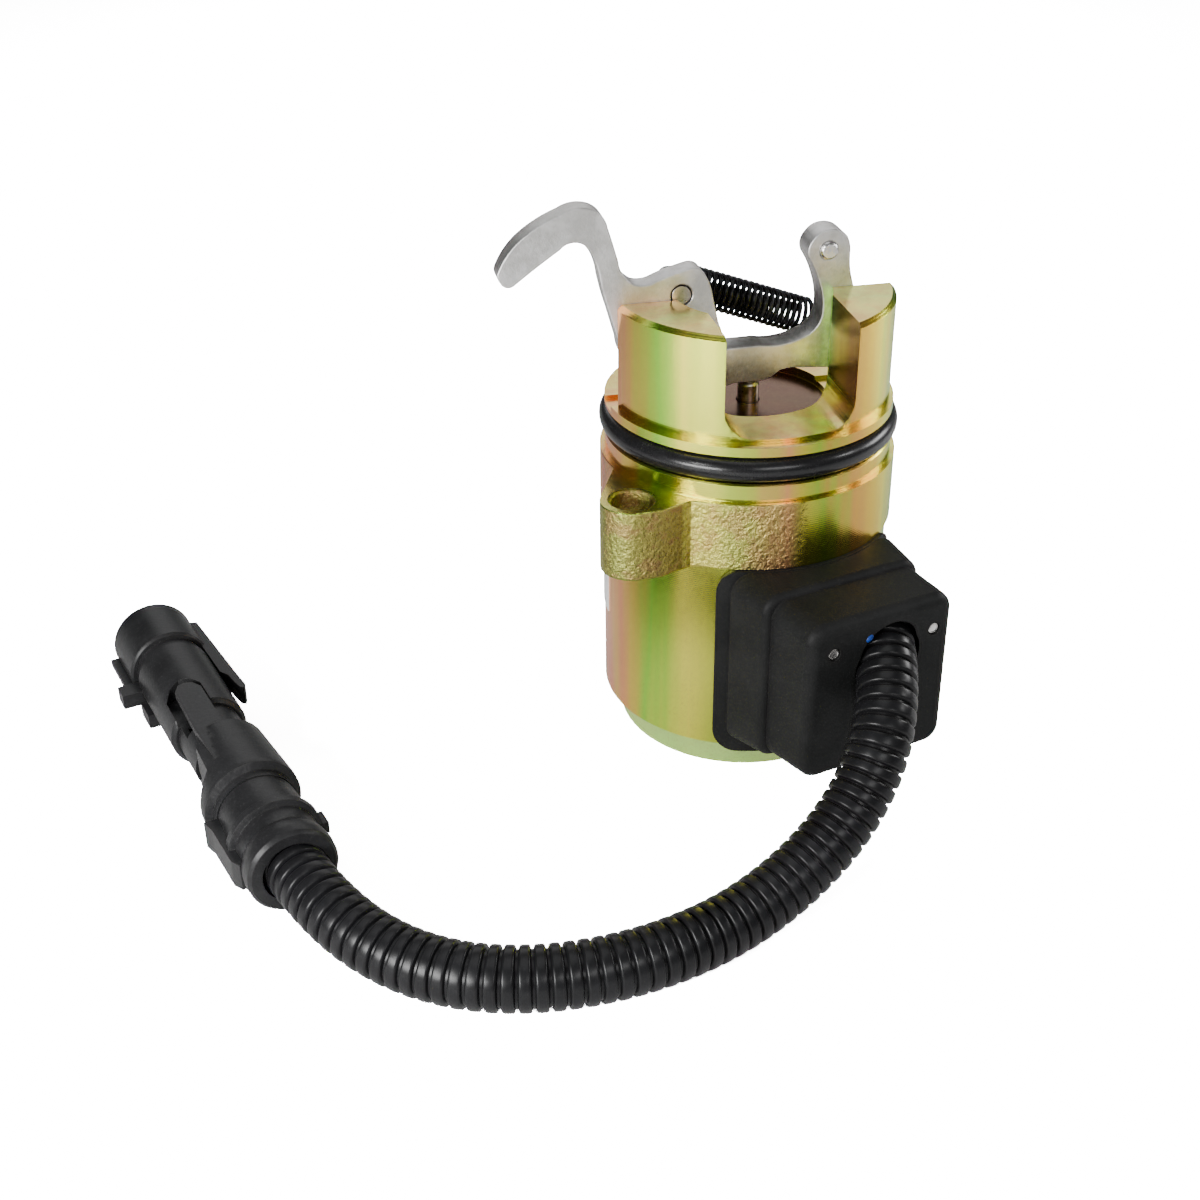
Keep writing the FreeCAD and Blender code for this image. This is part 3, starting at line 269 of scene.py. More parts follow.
# Colours of the zinc plating round the body, from the back over the left, front and right: its pink
# and green tints, mixed with bright yellow bands of painted highlight and darker bands of painted
# shade.
ZINC_TINTS_AND_PAINTED_HIGHLIGHTS: tuple[tuple[float, Colour], ...] = (
    (0.00, (0.56, 0.66, 0.07)), (0.19, (0.76, 0.62, 0.08)), (0.24, (0.92, 0.28, 0.19)),
    (0.28, (0.80, 0.56, 0.10)), (0.33, (0.36, 0.76, 0.07)), (0.39, (0.94, 0.86, 0.12)),
    (0.44, (0.48, 0.60, 0.07)), (0.49, (0.80, 0.40, 0.14)), (0.53, (0.62, 0.54, 0.06)),
    (0.57, (0.36, 0.52, 0.05)), (0.60, (0.66, 0.36, 0.08)), (0.635, (0.76, 0.52, 0.04)),
    (0.665, (0.86, 0.76, 0.05)), (0.71, (0.34, 0.70, 0.06)), (0.77, (0.80, 0.66, 0.08)),
    (0.88, (0.84, 0.34, 0.19)), (1.00, (0.56, 0.66, 0.07)),
)

# Other colours of the plating, and painted light on it: ochre and straw for the light that level
# faces catch, pale green for the floor's painted reflection on the base plate, and pocket brown for
# painted shade in the pocket round the push pin.
TOP_LIGHT_OCHRE: Colour = (0.72, 0.46, 0.16)
TOP_LIGHT_STRAW: Colour = (0.84, 0.72, 0.24)
FLOOR_REFLECTION_GREEN: Colour = (0.72, 1.0, 0.38)
TAN: Colour = (0.60, 0.42, 0.20)
EAR_BROWN: Colour = (0.34, 0.19, 0.08)
ROSE_BROWN: Colour = (0.52, 0.24, 0.13)
DARK_OLIVE: Colour = (0.22, 0.14, 0.05)
POCKET_SHADE_BROWN: Colour = (0.075, 0.018, 0.007)
SPECK_BROWN: Colour = (0.30, 0.20, 0.08)


class Layer(NamedTuple):
    """One colour laid over the others: where it shows, its greatest share and itself."""

    mask: Flow
    share: float
    colour: Flow | Colour


@dataclass(frozen=True)
class CastHead:
    """Where the head keeps its rough cast skin, and where its pocket lies, in which shade is
    painted.

    Attributes:
        foot: Heights between which the rough band begins.
        top: Heights between which it ends.
        machined_way: The level direction in which the collar is machined.
        machined: Distances in that direction between which the rough skin ends.
        ear_way: The level direction of the ear.
        ear: Distances in that direction between which the ear begins.
        pocket: Squared distances from the middle between which the pocket ends.
        floor: Heights between which the pocket begins.
        rim: Heights between which it ends.
    """

    foot: Pair = (38.5 * MM, 39.2 * MM)
    top: Pair = (49.9 * MM, 50.4 * MM)
    machined_way: Pair = (0.64, -0.77)
    machined: Pair = (18.5 * MM, 20.5 * MM)
    ear_way: Pair = (-0.80, -0.60)
    ear: Pair = (24.0 * MM, 25.0 * MM)
    pocket: Pair = (0.000150, 0.000162)
    floor: Pair = (56.0 * MM, 56.6 * MM)
    rim: Pair = (58.5 * MM, 59.5 * MM)

    def ear_mask(self, x: Flow, y: Flow) -> Flow:
        """Shows the ear."""
        return (x * self.ear_way[0] + y * self.ear_way[1]).ramp(*self.ear)

    def skin_mask(self, sheet: Sheet, x: Flow, y: Flow, z: Flow, ear: Flow) -> Flow:
        """Shows the rough cast skin, which covers the ear too."""
        band = z.ramp(*self.foot) * z.fade(*self.top)
        reach = (x * self.machined_way[0] + y * self.machined_way[1]).fade(*self.machined)
        return band * sheet.larger(reach, ear)

    def pocket_shade_mask(self, x: Flow, y: Flow, z: Flow) -> Flow:
        """Shows where shade is painted in the pocket round the push pin."""
        near = (x * x + y * y).fade(*self.pocket)
        return near * z.ramp(*self.floor) * z.fade(*self.rim)


@dataclass(frozen=True)
class YellowZinc:
    """Yellow zinc plating, which shows pink and green in places; painted highlights, painted shade
    and a painted floor reflection are laid into its colour.

    Attributes:
        name: The material's name.
        gloss: Its roughness.
        turned: Depth of the turning marks.
        cast: The rough cast places, if it has any.
        grain: Depth of their grain.
        base_top: Heights between which the painted reflection of the floor on the base plate ends.
        start: Share of the colour ring by which all colours are turned.
        drift: Share of the ring by which broad patches move them.
        streak: Share of the ring by which upright streaks move them.
    """

    name: str
    gloss: float
    turned: float
    cast: CastHead | None = None
    grain: float = 0.55 * MM
    base_top: Pair = (5.0 * MM, 6.0 * MM)
    start: float = 0.375
    drift: float = 0.18
    streak: float = 0.07

    def ring_place(self, sheet: Sheet, x: Flow, y: Flow) -> Flow:
        """The place on the ring of plating tints and painted highlight and shade bands, from 0 to 1
        round the body.
        """
        turn = sheet.add("ShaderNodeMath", {"operation": "ARCTAN2"}, {0: x, 1: y * -1.0})
        broad = sheet.noise(sheet.place((1.0, 1.0, 0.12)), scale=60.0, detail=2.0, rough=0.5)
        upright = sheet.noise(sheet.place((1.0, 1.0, 0.05)), scale=260.0, detail=2.0, rough=0.5)
        return turn * (0.5 / math.pi) + broad * self.drift + upright * self.streak + self.start

    def make(self) -> bpy.types.Material:
        """Returns the material."""
        sheet = Sheet(self.name)
        at = sheet.place()
        x, y, z = (sheet.split(at, axis) for axis in "XYZ")
        patch = sheet.noise(at, scale=240.0, detail=4.0, rough=0.6)
        fine = sheet.noise(at, scale=3200.0, detail=3.0, rough=0.6)
        facing = sheet.split(sheet.add("ShaderNodeTexCoord", out="Normal"), "Z")
        flat = (facing * facing).ramp(0.55, 0.85)
        marks = sheet.add("ShaderNodeTexWave", {"bands_direction": "Z"}, {
            "Vector": at, "Scale": 900.0, "Distortion": 0.8, "Detail": 1.0}, out="Fac")
        rough = self.gloss + fine * 0.08 + patch * 0.06
        normal = sheet.bump(marks, self.turned)
        layers = [
            # Level faces get a gold tone: painted light, for the light that the tops catch.
            Layer(flat, 0.65, sheet.mix(patch.ramp(0.38, 0.62), TOP_LIGHT_OCHRE, TOP_LIGHT_STRAW)),
            # Painted reflection of the bright floor, in pale green, on the lowest part of the base
            # plate.
            Layer(z.fade(*self.base_top), 0.9, FLOOR_REFLECTION_GREEN),
        ]
        if self.cast:
            ear = self.cast.ear_mask(x, y)
            skin = self.cast.skin_mask(sheet, x, y, z, ear)
            grain = sheet.noise(at, scale=1500.0, detail=4.0, rough=0.55)
            pits = sheet.noise(at, scale=3300.0, detail=2.0, rough=0.5)
            layers += [
                Layer(skin, 0.35, TAN),
                Layer(skin * ear, 0.5, EAR_BROWN),
                Layer(skin * patch.ramp(0.50, 0.62), 0.4, ROSE_BROWN),
                Layer(skin * grain.fade(0.40, 0.50), 0.2, DARK_OLIVE),
                # Painted shade: near-black brown in the pocket round the push pin.
                Layer(self.cast.pocket_shade_mask(x, y, z), 0.96, POCKET_SHADE_BROWN),
            ]
            rough = rough + skin * 0.10
            normal = sheet.bump((grain * 0.7 + pits * 0.3) * skin, self.grain, normal)
        layers.append(Layer(fine.fade(0.34, 0.48), 0.15, SPECK_BROWN))
        # The ring's colours hold painted highlight and shade bands besides the plating's tints.
        base = sheet.colours(self.ring_place(sheet, x, y), *ZINC_TINTS_AND_PAINTED_HIGHLIGHTS)
        for mask, share, colour in layers:
            base = sheet.mix(mask * share, base, colour)
        return sheet.surface(Base_Color=base, Metallic=1.0, Roughness=rough, Normal=normal)


@dataclass(frozen=True)
class PlainMetal:
    """A bare or blackened metal with fine grain.

    Attributes:
        name: The material's name.
        light: Its lighter colour.
        dark: Its darker colour.
        gloss: Its roughness.
        grain: Depth of its grain.
        scale: Noise scale of its mottling.
        finer: How many times finer its grain is.
    """

    name: str
    light: Colour
    dark: Colour
    gloss: float
    grain: float = 0.02 * MM
    scale: float = 420.0
    finer: float = 9.0

    def make(self) -> bpy.types.Material:
        """Returns the material."""
        sheet = Sheet(self.name)
        at = sheet.place()
        cloud = sheet.noise(at, self.scale, detail=4.0, rough=0.6)
        fine = sheet.noise(at, self.scale * self.finer, detail=3.0, rough=0.6)
        base = sheet.mix(cloud.ramp(0.36, 0.66), self.dark, self.light)
        rough = self.gloss + cloud * 0.12 - fine * 0.08
        return sheet.surface(Base_Color=base, Metallic=1.0, Roughness=rough,
                             Normal=sheet.bump(fine, self.grain))


@dataclass(frozen=True)
class Moulded:
    """Moulded plastic or rubber.

    Attributes:
        name: The material's name.
        colour: Its colour.
        gloss: Its roughness.
        grain: Depth of its texture.
        scale: Noise scale of its texture.
        dust: Share of pale dust and scuffs.
        shine: Its specular level.
        cloud: Noise scale of its faint clouds.
        paler: How many times paler than the colour the dust is.
        lift: What is added to the dust's colour.
        deeper: How many times deeper than the colour the clouds are.
    """

    name: str
    colour: Colour
    gloss: float
    grain: float = 0.03 * MM
    scale: float = 1600.0
    dust: float = 0.15
    shine: float = 0.3
    cloud: float = 140.0
    paler: float = 2.0
    lift: float = 0.006
    deeper: float = 0.7

    def make(self) -> bpy.types.Material:
        """Returns the material."""
        sheet = Sheet(self.name)
        at = sheet.place()
        cloud = sheet.noise(at, self.cloud, detail=3.0, rough=0.6)
        fine = sheet.noise(at, self.scale, detail=4.0, rough=0.65)
        pale = tuple(min(1.0, part * self.paler + self.lift) for part in self.colour)
        deep = tuple(part * self.deeper for part in self.colour)
        base = sheet.mix(cloud.ramp(0.35, 0.65), deep, self.colour)
        base = sheet.mix(fine.ramp(0.55, 0.75) * self.dust, base, pale)
        rough = self.gloss + cloud * 0.10 + fine * 0.06 - 0.08
        return sheet.surface(Base_Color=base, Roughness=rough, Specular_IOR_Level=self.shine,
                             Normal=sheet.bump(fine, self.grain))


@dataclass(frozen=True)
class Windings:
    """Enamelled copper wire laid turn on turn, with shade painted between the turns.

    Attributes:
        name: The material's name.
        crown: Colour on top of a turn.
        groove: Painted shade between two turns.
        depth: Depth of the grooves.
    """

    name: str
    crown: Colour
    groove: Colour
    depth: float = 0.1 * MM

    def make(self) -> bpy.types.Material:
        """Returns the material."""
        sheet = Sheet(self.name)
        turns = sheet.add("ShaderNodeTexWave", {"bands_direction": "Z"}, {
            "Vector": sheet.place(), "Scale": 420.0, "Distortion": 0.2}, out="Fac")
        # Painted shade: the groove colour darkens the wire between turns.
        base = sheet.mix(turns, self.groove, self.crown)
        return sheet.surface(Base_Color=base, Metallic=0.9, Roughness=turns * -0.15 + 0.42,
                             Normal=sheet.bump(turns, self.depth))


@dataclass(frozen=True)
class BlankFilm:
    """Plain white label film.

    Attributes:
        name: The material's name.
        light: Its lighter colour.
        dark: Its darker colour.
        grain: Depth of its grain.
    """

    name: str
    light: Colour
    dark: Colour
    grain: float = 0.01 * MM

    def make(self) -> bpy.types.Material:
        """Returns the material."""
        sheet = Sheet(self.name)
        fine = sheet.noise(sheet.place(), scale=900.0, detail=3.0, rough=0.5)
        return sheet.surface(Base_Color=sheet.mix(fine, self.dark, self.light),
                             Roughness=fine * 0.1 + 0.35, Normal=sheet.bump(fine, self.grain))


class Finish(Enum):
    """The finishes of the solenoid, each with its maker."""

    CAST_ZINC = YellowZinc("zinc_on_casting", gloss=0.16, turned=0.004 * MM, cast=CastHead())
    CAN_ZINC = YellowZinc("zinc_on_can", gloss=0.14, turned=0.002 * MM)
    LEVER = PlainMetal("blanked_steel", (0.84, 0.83, 0.82), (0.66, 0.65, 0.63), gloss=0.40,
                       grain=0.06 * MM, scale=260.0)
    PIN = PlainMetal("turned_steel", (0.66, 0.63, 0.58), (0.42, 0.39, 0.34), gloss=0.28)
    BRIGHT = PlainMetal("polished_steel", (0.92, 0.91, 0.89), (0.74, 0.72, 0.69), gloss=0.22)
    SPRING = PlainMetal("black_spring_wire", (0.04, 0.04, 0.042), (0.012, 0.012, 0.013), gloss=0.30)
    IRON = PlainMetal("turned_iron", (0.52, 0.51, 0.49), (0.36, 0.35, 0.34), gloss=0.30)
    BRASS = PlainMetal("turned_brass", (0.80, 0.60, 0.30), (0.62, 0.44, 0.20), gloss=0.26)
    TINNED = PlainMetal("tinned_brass", (0.78, 0.74, 0.62), (0.62, 0.56, 0.42), gloss=0.24)
    COPPER = Windings("enamelled_copper", (0.80, 0.36, 0.16), (0.30, 0.10, 0.04))
    BOBBIN = Moulded("pale_nylon", (0.62, 0.58, 0.46), gloss=0.42)
    SEAL = Moulded("black_rubber", (0.013, 0.013, 0.0138), gloss=0.25, grain=0.01 * MM,
                   scale=1200.0, dust=0.3, shine=0.40)
    COVER = Moulded("matt_black", (0.0138, 0.0138, 0.0138), gloss=0.54, scale=1500.0, dust=0.3,
                    shine=0.14)
    CONDUIT = Moulded("glossy_black", (0.010, 0.010, 0.011), gloss=0.31, grain=0.003 * MM,
                      scale=900.0, dust=0.2, shine=0.26)
    CONNECTOR = Moulded("black_nylon", (0.021, 0.021, 0.022), gloss=0.38, scale=1500.0, dust=0.4,
                        shine=0.26)
    WIRE_BLUE = Moulded("blue_insulation", (0.01, 0.05, 0.28), gloss=0.35, grain=0.01 * MM)
    WIRE_RED = Moulded("red_insulation", (0.40, 0.02, 0.03), gloss=0.35, grain=0.01 * MM)
    LABEL = BlankFilm("blank_film", (0.90, 0.90, 0.89), (0.80, 0.80, 0.78))

    def material(self) -> bpy.types.Material:
        """Returns the finish's material, made once."""
        found = bpy.data.materials.get(self.value.name)
        return found or self.value.make()


# Modelling helpers


def deselect() -> None:
    """Leaves edit mode and selects nothing."""
    if bpy.context.object and bpy.context.object.mode != "OBJECT":
        bpy.ops.object.mode_set(mode="OBJECT")
    bpy.ops.object.select_all(action="DESELECT")


def grab(obj: bpy.types.Object) -> None:
    """Selects one object and makes it active."""
    deselect()
    obj.select_set(True)
    bpy.context.view_layer.objects.active = obj


def settle(obj: bpy.types.Object) -> bpy.types.Object:
    """Puts an object's place into its mesh."""
    grab(obj)
    bpy.ops.object.transform_apply(location=True, rotation=True, scale=True)
    return obj


def apply(obj: bpy.types.Object, kind: str, **settings: object) -> None:
    """Adds a modifier and applies it.

    Args:
        obj: The piece.
        kind: The modifier's type.
        **settings: Its properties.
    """
    grab(obj)
    modifier = obj.modifiers.new(kind.title(), kind)
    for key, value in settings.items():
        setattr(modifier, key, value)
    bpy.ops.object.modifier_apply(modifier=modifier.name)


def smooth(obj: bpy.types.Object, degrees: float) -> None:
    """Shades a piece smooth up to an angle."""
    grab(obj)
    bpy.ops.object.shade_smooth_by_angle(angle=math.radians(degrees))


def dress(obj: bpy.types.Object, finish: Finish) -> None:
    """Gives a piece its only material."""
    obj.data.materials.clear()
    obj.data.materials.append(finish.material())


# How a solid's mesh is merged, flattened and given broken edges.
MERGE = 0.001 * MM
FLATTEN = math.radians(0.6)
SHARP_EDGE = math.radians(28.0)
EDGE_STEPS = 2


def refine(node: str, finish: Finish, edge: float) -> bpy.types.Object:
    """Makes the shown piece from a solid: merged, its flat faces joined, its edges broken.

    Args:
        node: The solid's name.
        finish: Its finish.
        edge: Width of the broken edges.

    Returns:
        The new piece.
    """
    source = bpy.data.objects[node]
    piece = source.copy()
    piece.data = source.data.copy()
    piece.name = node + "_shown"
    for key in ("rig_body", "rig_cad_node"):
        if key in piece:
            del piece[key]
    piece.parent = None
    bpy.context.scene.collection.objects.link(piece)
    grab(piece)
    bpy.ops.object.mode_set(mode="EDIT")
    bpy.ops.mesh.select_all(action="SELECT")
    bpy.ops.mesh.remove_doubles(threshold=MERGE)
    bpy.ops.mesh.dissolve_limited(angle_limit=FLATTEN)
    bpy.ops.object.mode_set(mode="OBJECT")
    if edge > 0.0:
        apply(piece, "BEVEL", width=edge, segments=EDGE_STEPS, limit_method="ANGLE",
              angle_limit=SHARP_EDGE, harden_normals=False, use_clamp_overlap=True,
              miter_outer="MITER_ARC")
    smooth(piece, degrees=34.0)
    apply(piece, "WEIGHTED_NORMAL", keep_sharp=True)
    dress(piece, finish)
    LOG.info("%s: %d faces", piece.name, len(piece.data.polygons))
    return piece


def tube_mesh(
    name: str, line: Sequence[Vector], radii: Sequence[float], sides: int
) -> bpy.types.Object:
    """A tube of changing radius along a line, closed at its ends.

    Args:
        name: The piece's name.
        line: Points of the line.
        radii: The radius at each point.
        sides: Faces around it.

    Returns:
        The new mesh object.
    """
    verts: list[Vector] = []
    faces: list[tuple[int, ...]] = []
    count = len(line)
    tangents = [(line[min(i + 1, count - 1)] - line[max(i - 1, 0)]).normalized()
                for i in range(count)]
    side = tangents[0].orthogonal().normalized()
    for i, (point, tangent) in enumerate(zip(line, tangents)):
        side = (side - tangent * side.dot(tangent)).normalized()
        other = tangent.cross(side)
        for j in range(sides):
            angle = 2.0 * math.pi * j / sides
            verts.append(point + (side * math.cos(angle) + other * math.sin(angle)) * radii[i])
        if i:
            before, here = (i - 1) * sides, i * sides
            for j in range(sides):
                after = (j + 1) % sides
                faces.append((before + j, before + after, here + after, here + j))
    faces.append(tuple(reversed(range(sides))))
    faces.append(tuple(range((count - 1) * sides, count * sides)))
    mesh = bpy.data.meshes.new(name)
    mesh.from_pydata([tuple(v) for v in verts], [], faces)
    mesh.update()
    obj = bpy.data.objects.new(name, mesh)
    bpy.context.scene.collection.objects.link(obj)
    return obj


def resample(line: Sequence[Vector], step: float) -> list[Vector]:
    """Points at even distances along a line."""
    out, left = [line[0].copy()], step
    for a, b in zip(line, line[1:]):
        length = (b - a).length
        done = 0.0
        while length - done >= left:
            done += left
            out.append(a.lerp(b, done / length))
            left = step
        left -= length - done
    out.append(line[-1].copy())
    return out


def spline_points(route: Sequence[Point], steps: int = 48) -> list[Vector]:
    """Points read from a route's NURBS spline.

    Args:
        route: Its control points.
        steps: Points from one control point to the next.

    Returns:
        Points close together along the spline.
    """
    curve = bpy.data.curves.new("route", "CURVE")
    curve.dimensions, curve.resolution_u = "3D", steps
    spline = curve.splines.new("NURBS")
    spline.points.add(len(route) - 1)
    for point, place in zip(spline.points, route):
        point.co = (*place, 1.0)
    spline.order_u = 3
    spline.use_endpoint_u = True
    carrier = bpy.data.objects.new("route", curve)
    bpy.context.scene.collection.objects.link(carrier)
    bpy.context.view_layer.update()
    mesh = bpy.data.meshes.new_from_object(carrier)
    points = [v.co.copy() for v in mesh.vertices]
    bpy.data.objects.remove(carrier)
    return points


def dimple(piece: bpy.types.Object, way: Vector, rim: float, depth: float) -> None:
    """Sinks the flat faces that look one way, inside a rim.

    Args:
        piece: The piece.
        way: The direction that the faces look in.
        rim: Width of the rim that stays.
        depth: How deep they sink.
    """
    grab(piece)
    aligned = 0.995
    for face in piece.data.polygons:
        face.select = face.normal.dot(way) > aligned
    bpy.ops.object.mode_set(mode="EDIT")
    bpy.ops.mesh.select_mode(type="FACE")
    bpy.ops.mesh.inset(thickness=rim, depth=-depth)
    bpy.ops.object.mode_set(mode="OBJECT")


# The studio


class Lamp(NamedTuple):
    """A soft rectangular light: its place, the point it faces, its size and its watts."""

    name: str
    at: Point
    to: Point
    size: Pair
    power: float

    def build(self) -> None:
        """Adds the light."""
        data = bpy.data.lights.new(self.name, "AREA")
        data.shape, data.size, data.size_y = "RECTANGLE", *self.size
        data.energy = self.power
        lamp = bpy.data.objects.new(self.name, data)
        lamp.location = self.at
        way = Vector(self.to) - Vector(self.at)
        lamp.rotation_euler = way.to_track_quat("-Z", "Y").to_euler()
        bpy.context.scene.collection.objects.link(lamp)


@dataclass
class Studio:
    """Camera, lights and the pale floor.

    Attributes:
        eye: The camera's place.
        ahead: The direction in which it looks.
        up: Its upward direction.
        lens: Its focal length in millimetres.
        sensor: The width of its sensor in millimetres.
        sight: The nearest and farthest distance that it sees.
        glow: Strength of the surround.
        floor_size: Side of the floor.
        floor_grey: The floor's colour in the light that it throws on the part.
        floor_seen: Its colour where the camera sees it directly.
        middle: The point that the lights round the part face.
    """

    eye: Point = (-0.07430, -0.24303, 0.16664)
    ahead: Point = (0.17348, 0.84818, -0.50049)
    up: Point = (0.11171, 0.48796, 0.86569)
    lens: float = 51.12
    sensor: float = 36.0
    sight: Pair = (0.01, 20.0)
    glow: float = 0.07
    floor_size: float = 6.0
    floor_grey: Colour = (0.80, 0.80, 0.80)
    floor_seen: Colour = (34.0, 34.0, 34.0)
    middle: Point = (0.0, 0.0, 0.05)

    def lamps(self) -> tuple[Lamp, ...]:
        """The lights round the part and the small ones that brighten the floor."""
        return (
            Lamp("top_light", (-0.05, 0.05, 0.80), self.middle, (0.6, 0.5), 1.2),
            Lamp("left_light", (-0.46, -0.34, 0.42), self.middle, (0.07, 0.07), 0.7),
            Lamp("right_light", (0.55, -0.22, 0.40), self.middle, (0.05, 0.10), 0.6),
            Lamp("back_light", (0.1, 0.7, 0.45), self.middle, (0.8, 0.4), 1.4),
            Lamp("left_pool", (-0.22, -0.19, 0.10), (-0.13, -0.12, 0.0), (0.14, 0.07), 1.0),
            Lamp("right_pool", (0.26, 0.03, 0.13), (0.19, 0.02, 0.0), (0.12, 0.08), 0.4),
            Lamp("front_pool", (0.05, -0.38, 0.26), (0.0, -0.28, 0.0), (0.20, 0.10), 0.45),
        )

    def camera(self) -> None:
        """Sets the camera at the photograph's viewing angle."""
        data = bpy.data.cameras.new("camera")
        data.lens, data.sensor_width, data.sensor_fit = self.lens, self.sensor, "HORIZONTAL"
        data.clip_start, data.clip_end = self.sight
        camera = bpy.data.objects.new("camera", data)
        ahead, up = Vector(self.ahead).normalized(), Vector(self.up).normalized()
        right = ahead.cross(up).normalized()
        up = right.cross(ahead)
        camera.matrix_world = Matrix((
            (right.x, up.x, -ahead.x, self.eye[0]),
            (right.y, up.y, -ahead.y, self.eye[1]),
            (right.z, up.z, -ahead.z, self.eye[2]),
            (0.0, 0.0, 0.0, 1.0),
        ))
        bpy.context.scene.collection.objects.link(camera)
        bpy.context.scene.camera = camera

    def world(self) -> None:
        """A white, even surround."""
        world = bpy.data.worlds.new("surround")
        world.use_nodes = True
        back = world.node_tree.nodes["Background"]
        back.inputs["Color"].default_value = (1.0, 1.0, 1.0, 1.0)
        back.inputs["Strength"].default_value = self.glow
        bpy.context.scene.world = world

    def floor(self) -> None:
        """A pale floor that runs out of sight, brighter where the camera sees it directly."""
        deselect()
        bpy.ops.mesh.primitive_plane_add(size=self.floor_size, location=(0.0, 0.0, 0.0))
        floor = settle(bpy.context.object)
        floor.name = "studio_floor"
        sheet = Sheet("pale_floor")
        seen = sheet.add("ShaderNodeLightPath", out="Is Camera Ray")
        plain = sheet.add("ShaderNodeBsdfDiffuse", {}, {"Color": self.floor_grey})
        bright = sheet.add("ShaderNodeBsdfDiffuse", {}, {"Color": self.floor_seen})
        both = sheet.add("ShaderNodeMixShader", {}, {0: seen, 1: plain, 2: bright})
        sheet.tree.links.new(both.socket, sheet.output.inputs["Surface"])
        floor.data.materials.append(sheet.material)

    def build(self) -> None:
        """Adds the surround, the floor and the lights."""
        self.world()
        self.floor()
        for lamp in self.lamps():
            lamp.build()


# The conduit, which is the cord


@dataclass
class Conduit:
    """Corrugated conduit from the cover to the connector.

    Attributes:
        route: Its control points.
        radius: Radius on the ribs.
        valley: Radius between them.
        pitch: Distance from rib to rib.
        slope: How many times the length of a rib's side fits into the pitch.
        lag: Half the width of a valley, as a share of that length.
        fall: Share of the radius by which a rib falls towards its edges.
        steps: Points along one rib.
        sides: Faces around it.
    """

    route: tuple[Point, ...] = (
        (0.0134, -0.0311, 0.0309), (0.0105, -0.0450, 0.0269), (0.0029, -0.0535, 0.0140),
        (-0.0137, -0.0613, 0.00475), (-0.0331, -0.0688, 0.00475), (-0.0527, -0.0685, 0.00475),
        (-0.0674, -0.0600, 0.00475), (-0.0777, -0.0468, 0.0080), (-0.0818, -0.0329, 0.0080),
    )
    radius: float = 4.7 * MM
    valley: float = 4.05 * MM
    pitch: float = 2.17 * MM
    slope: float = 10.0
    lag: float = 0.75
    fall: float = 0.022
    steps: int = 14
    sides: int = 40

    def section(self, way: float) -> float:
        """The radius at a distance along the conduit: flat crowns with steep, rounded sides."""
        phase = (way / self.pitch) % 1.0
        rise = min(1.0, max(0.0, (0.5 - abs(phase - 0.5)) * self.slope - self.lag))
        rise = rise * rise * (3.0 - 2.0 * rise)
        crown = 1.0 - self.fall * (2.0 * phase - 1.0) ** 2
        return self.valley + (self.radius * crown - self.valley) * rise

    def build(self, with_pieces: Iterable[str]) -> bpy.types.Object:
        """Args:
            with_pieces: Names of the pieces on its far end; not used.

        Returns:
            The conduit.
        """
        line = resample(spline_points(self.route), self.pitch / self.steps)
        ways = [0.0]
        for a, b in zip(line, line[1:]):
            ways.append(ways[-1] + (b - a).length)
        radii = [self.section(way) for way in ways]
        tube = tube_mesh("conduit_ribbed", line, radii, self.sides)
        smooth(tube, degrees=50.0)
        dress(tube, Finish.CONDUIT)
        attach(tube, Unit.HOUSING.value)
        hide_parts("conduit")
        [tuple(p) for p in line[::3]] + [tuple(line[-1])]
        LOG.info("conduit: %.1f mm, %d faces", ways[-1] / MM, len(tube.data.polygons))
        return tube


# The tension spring


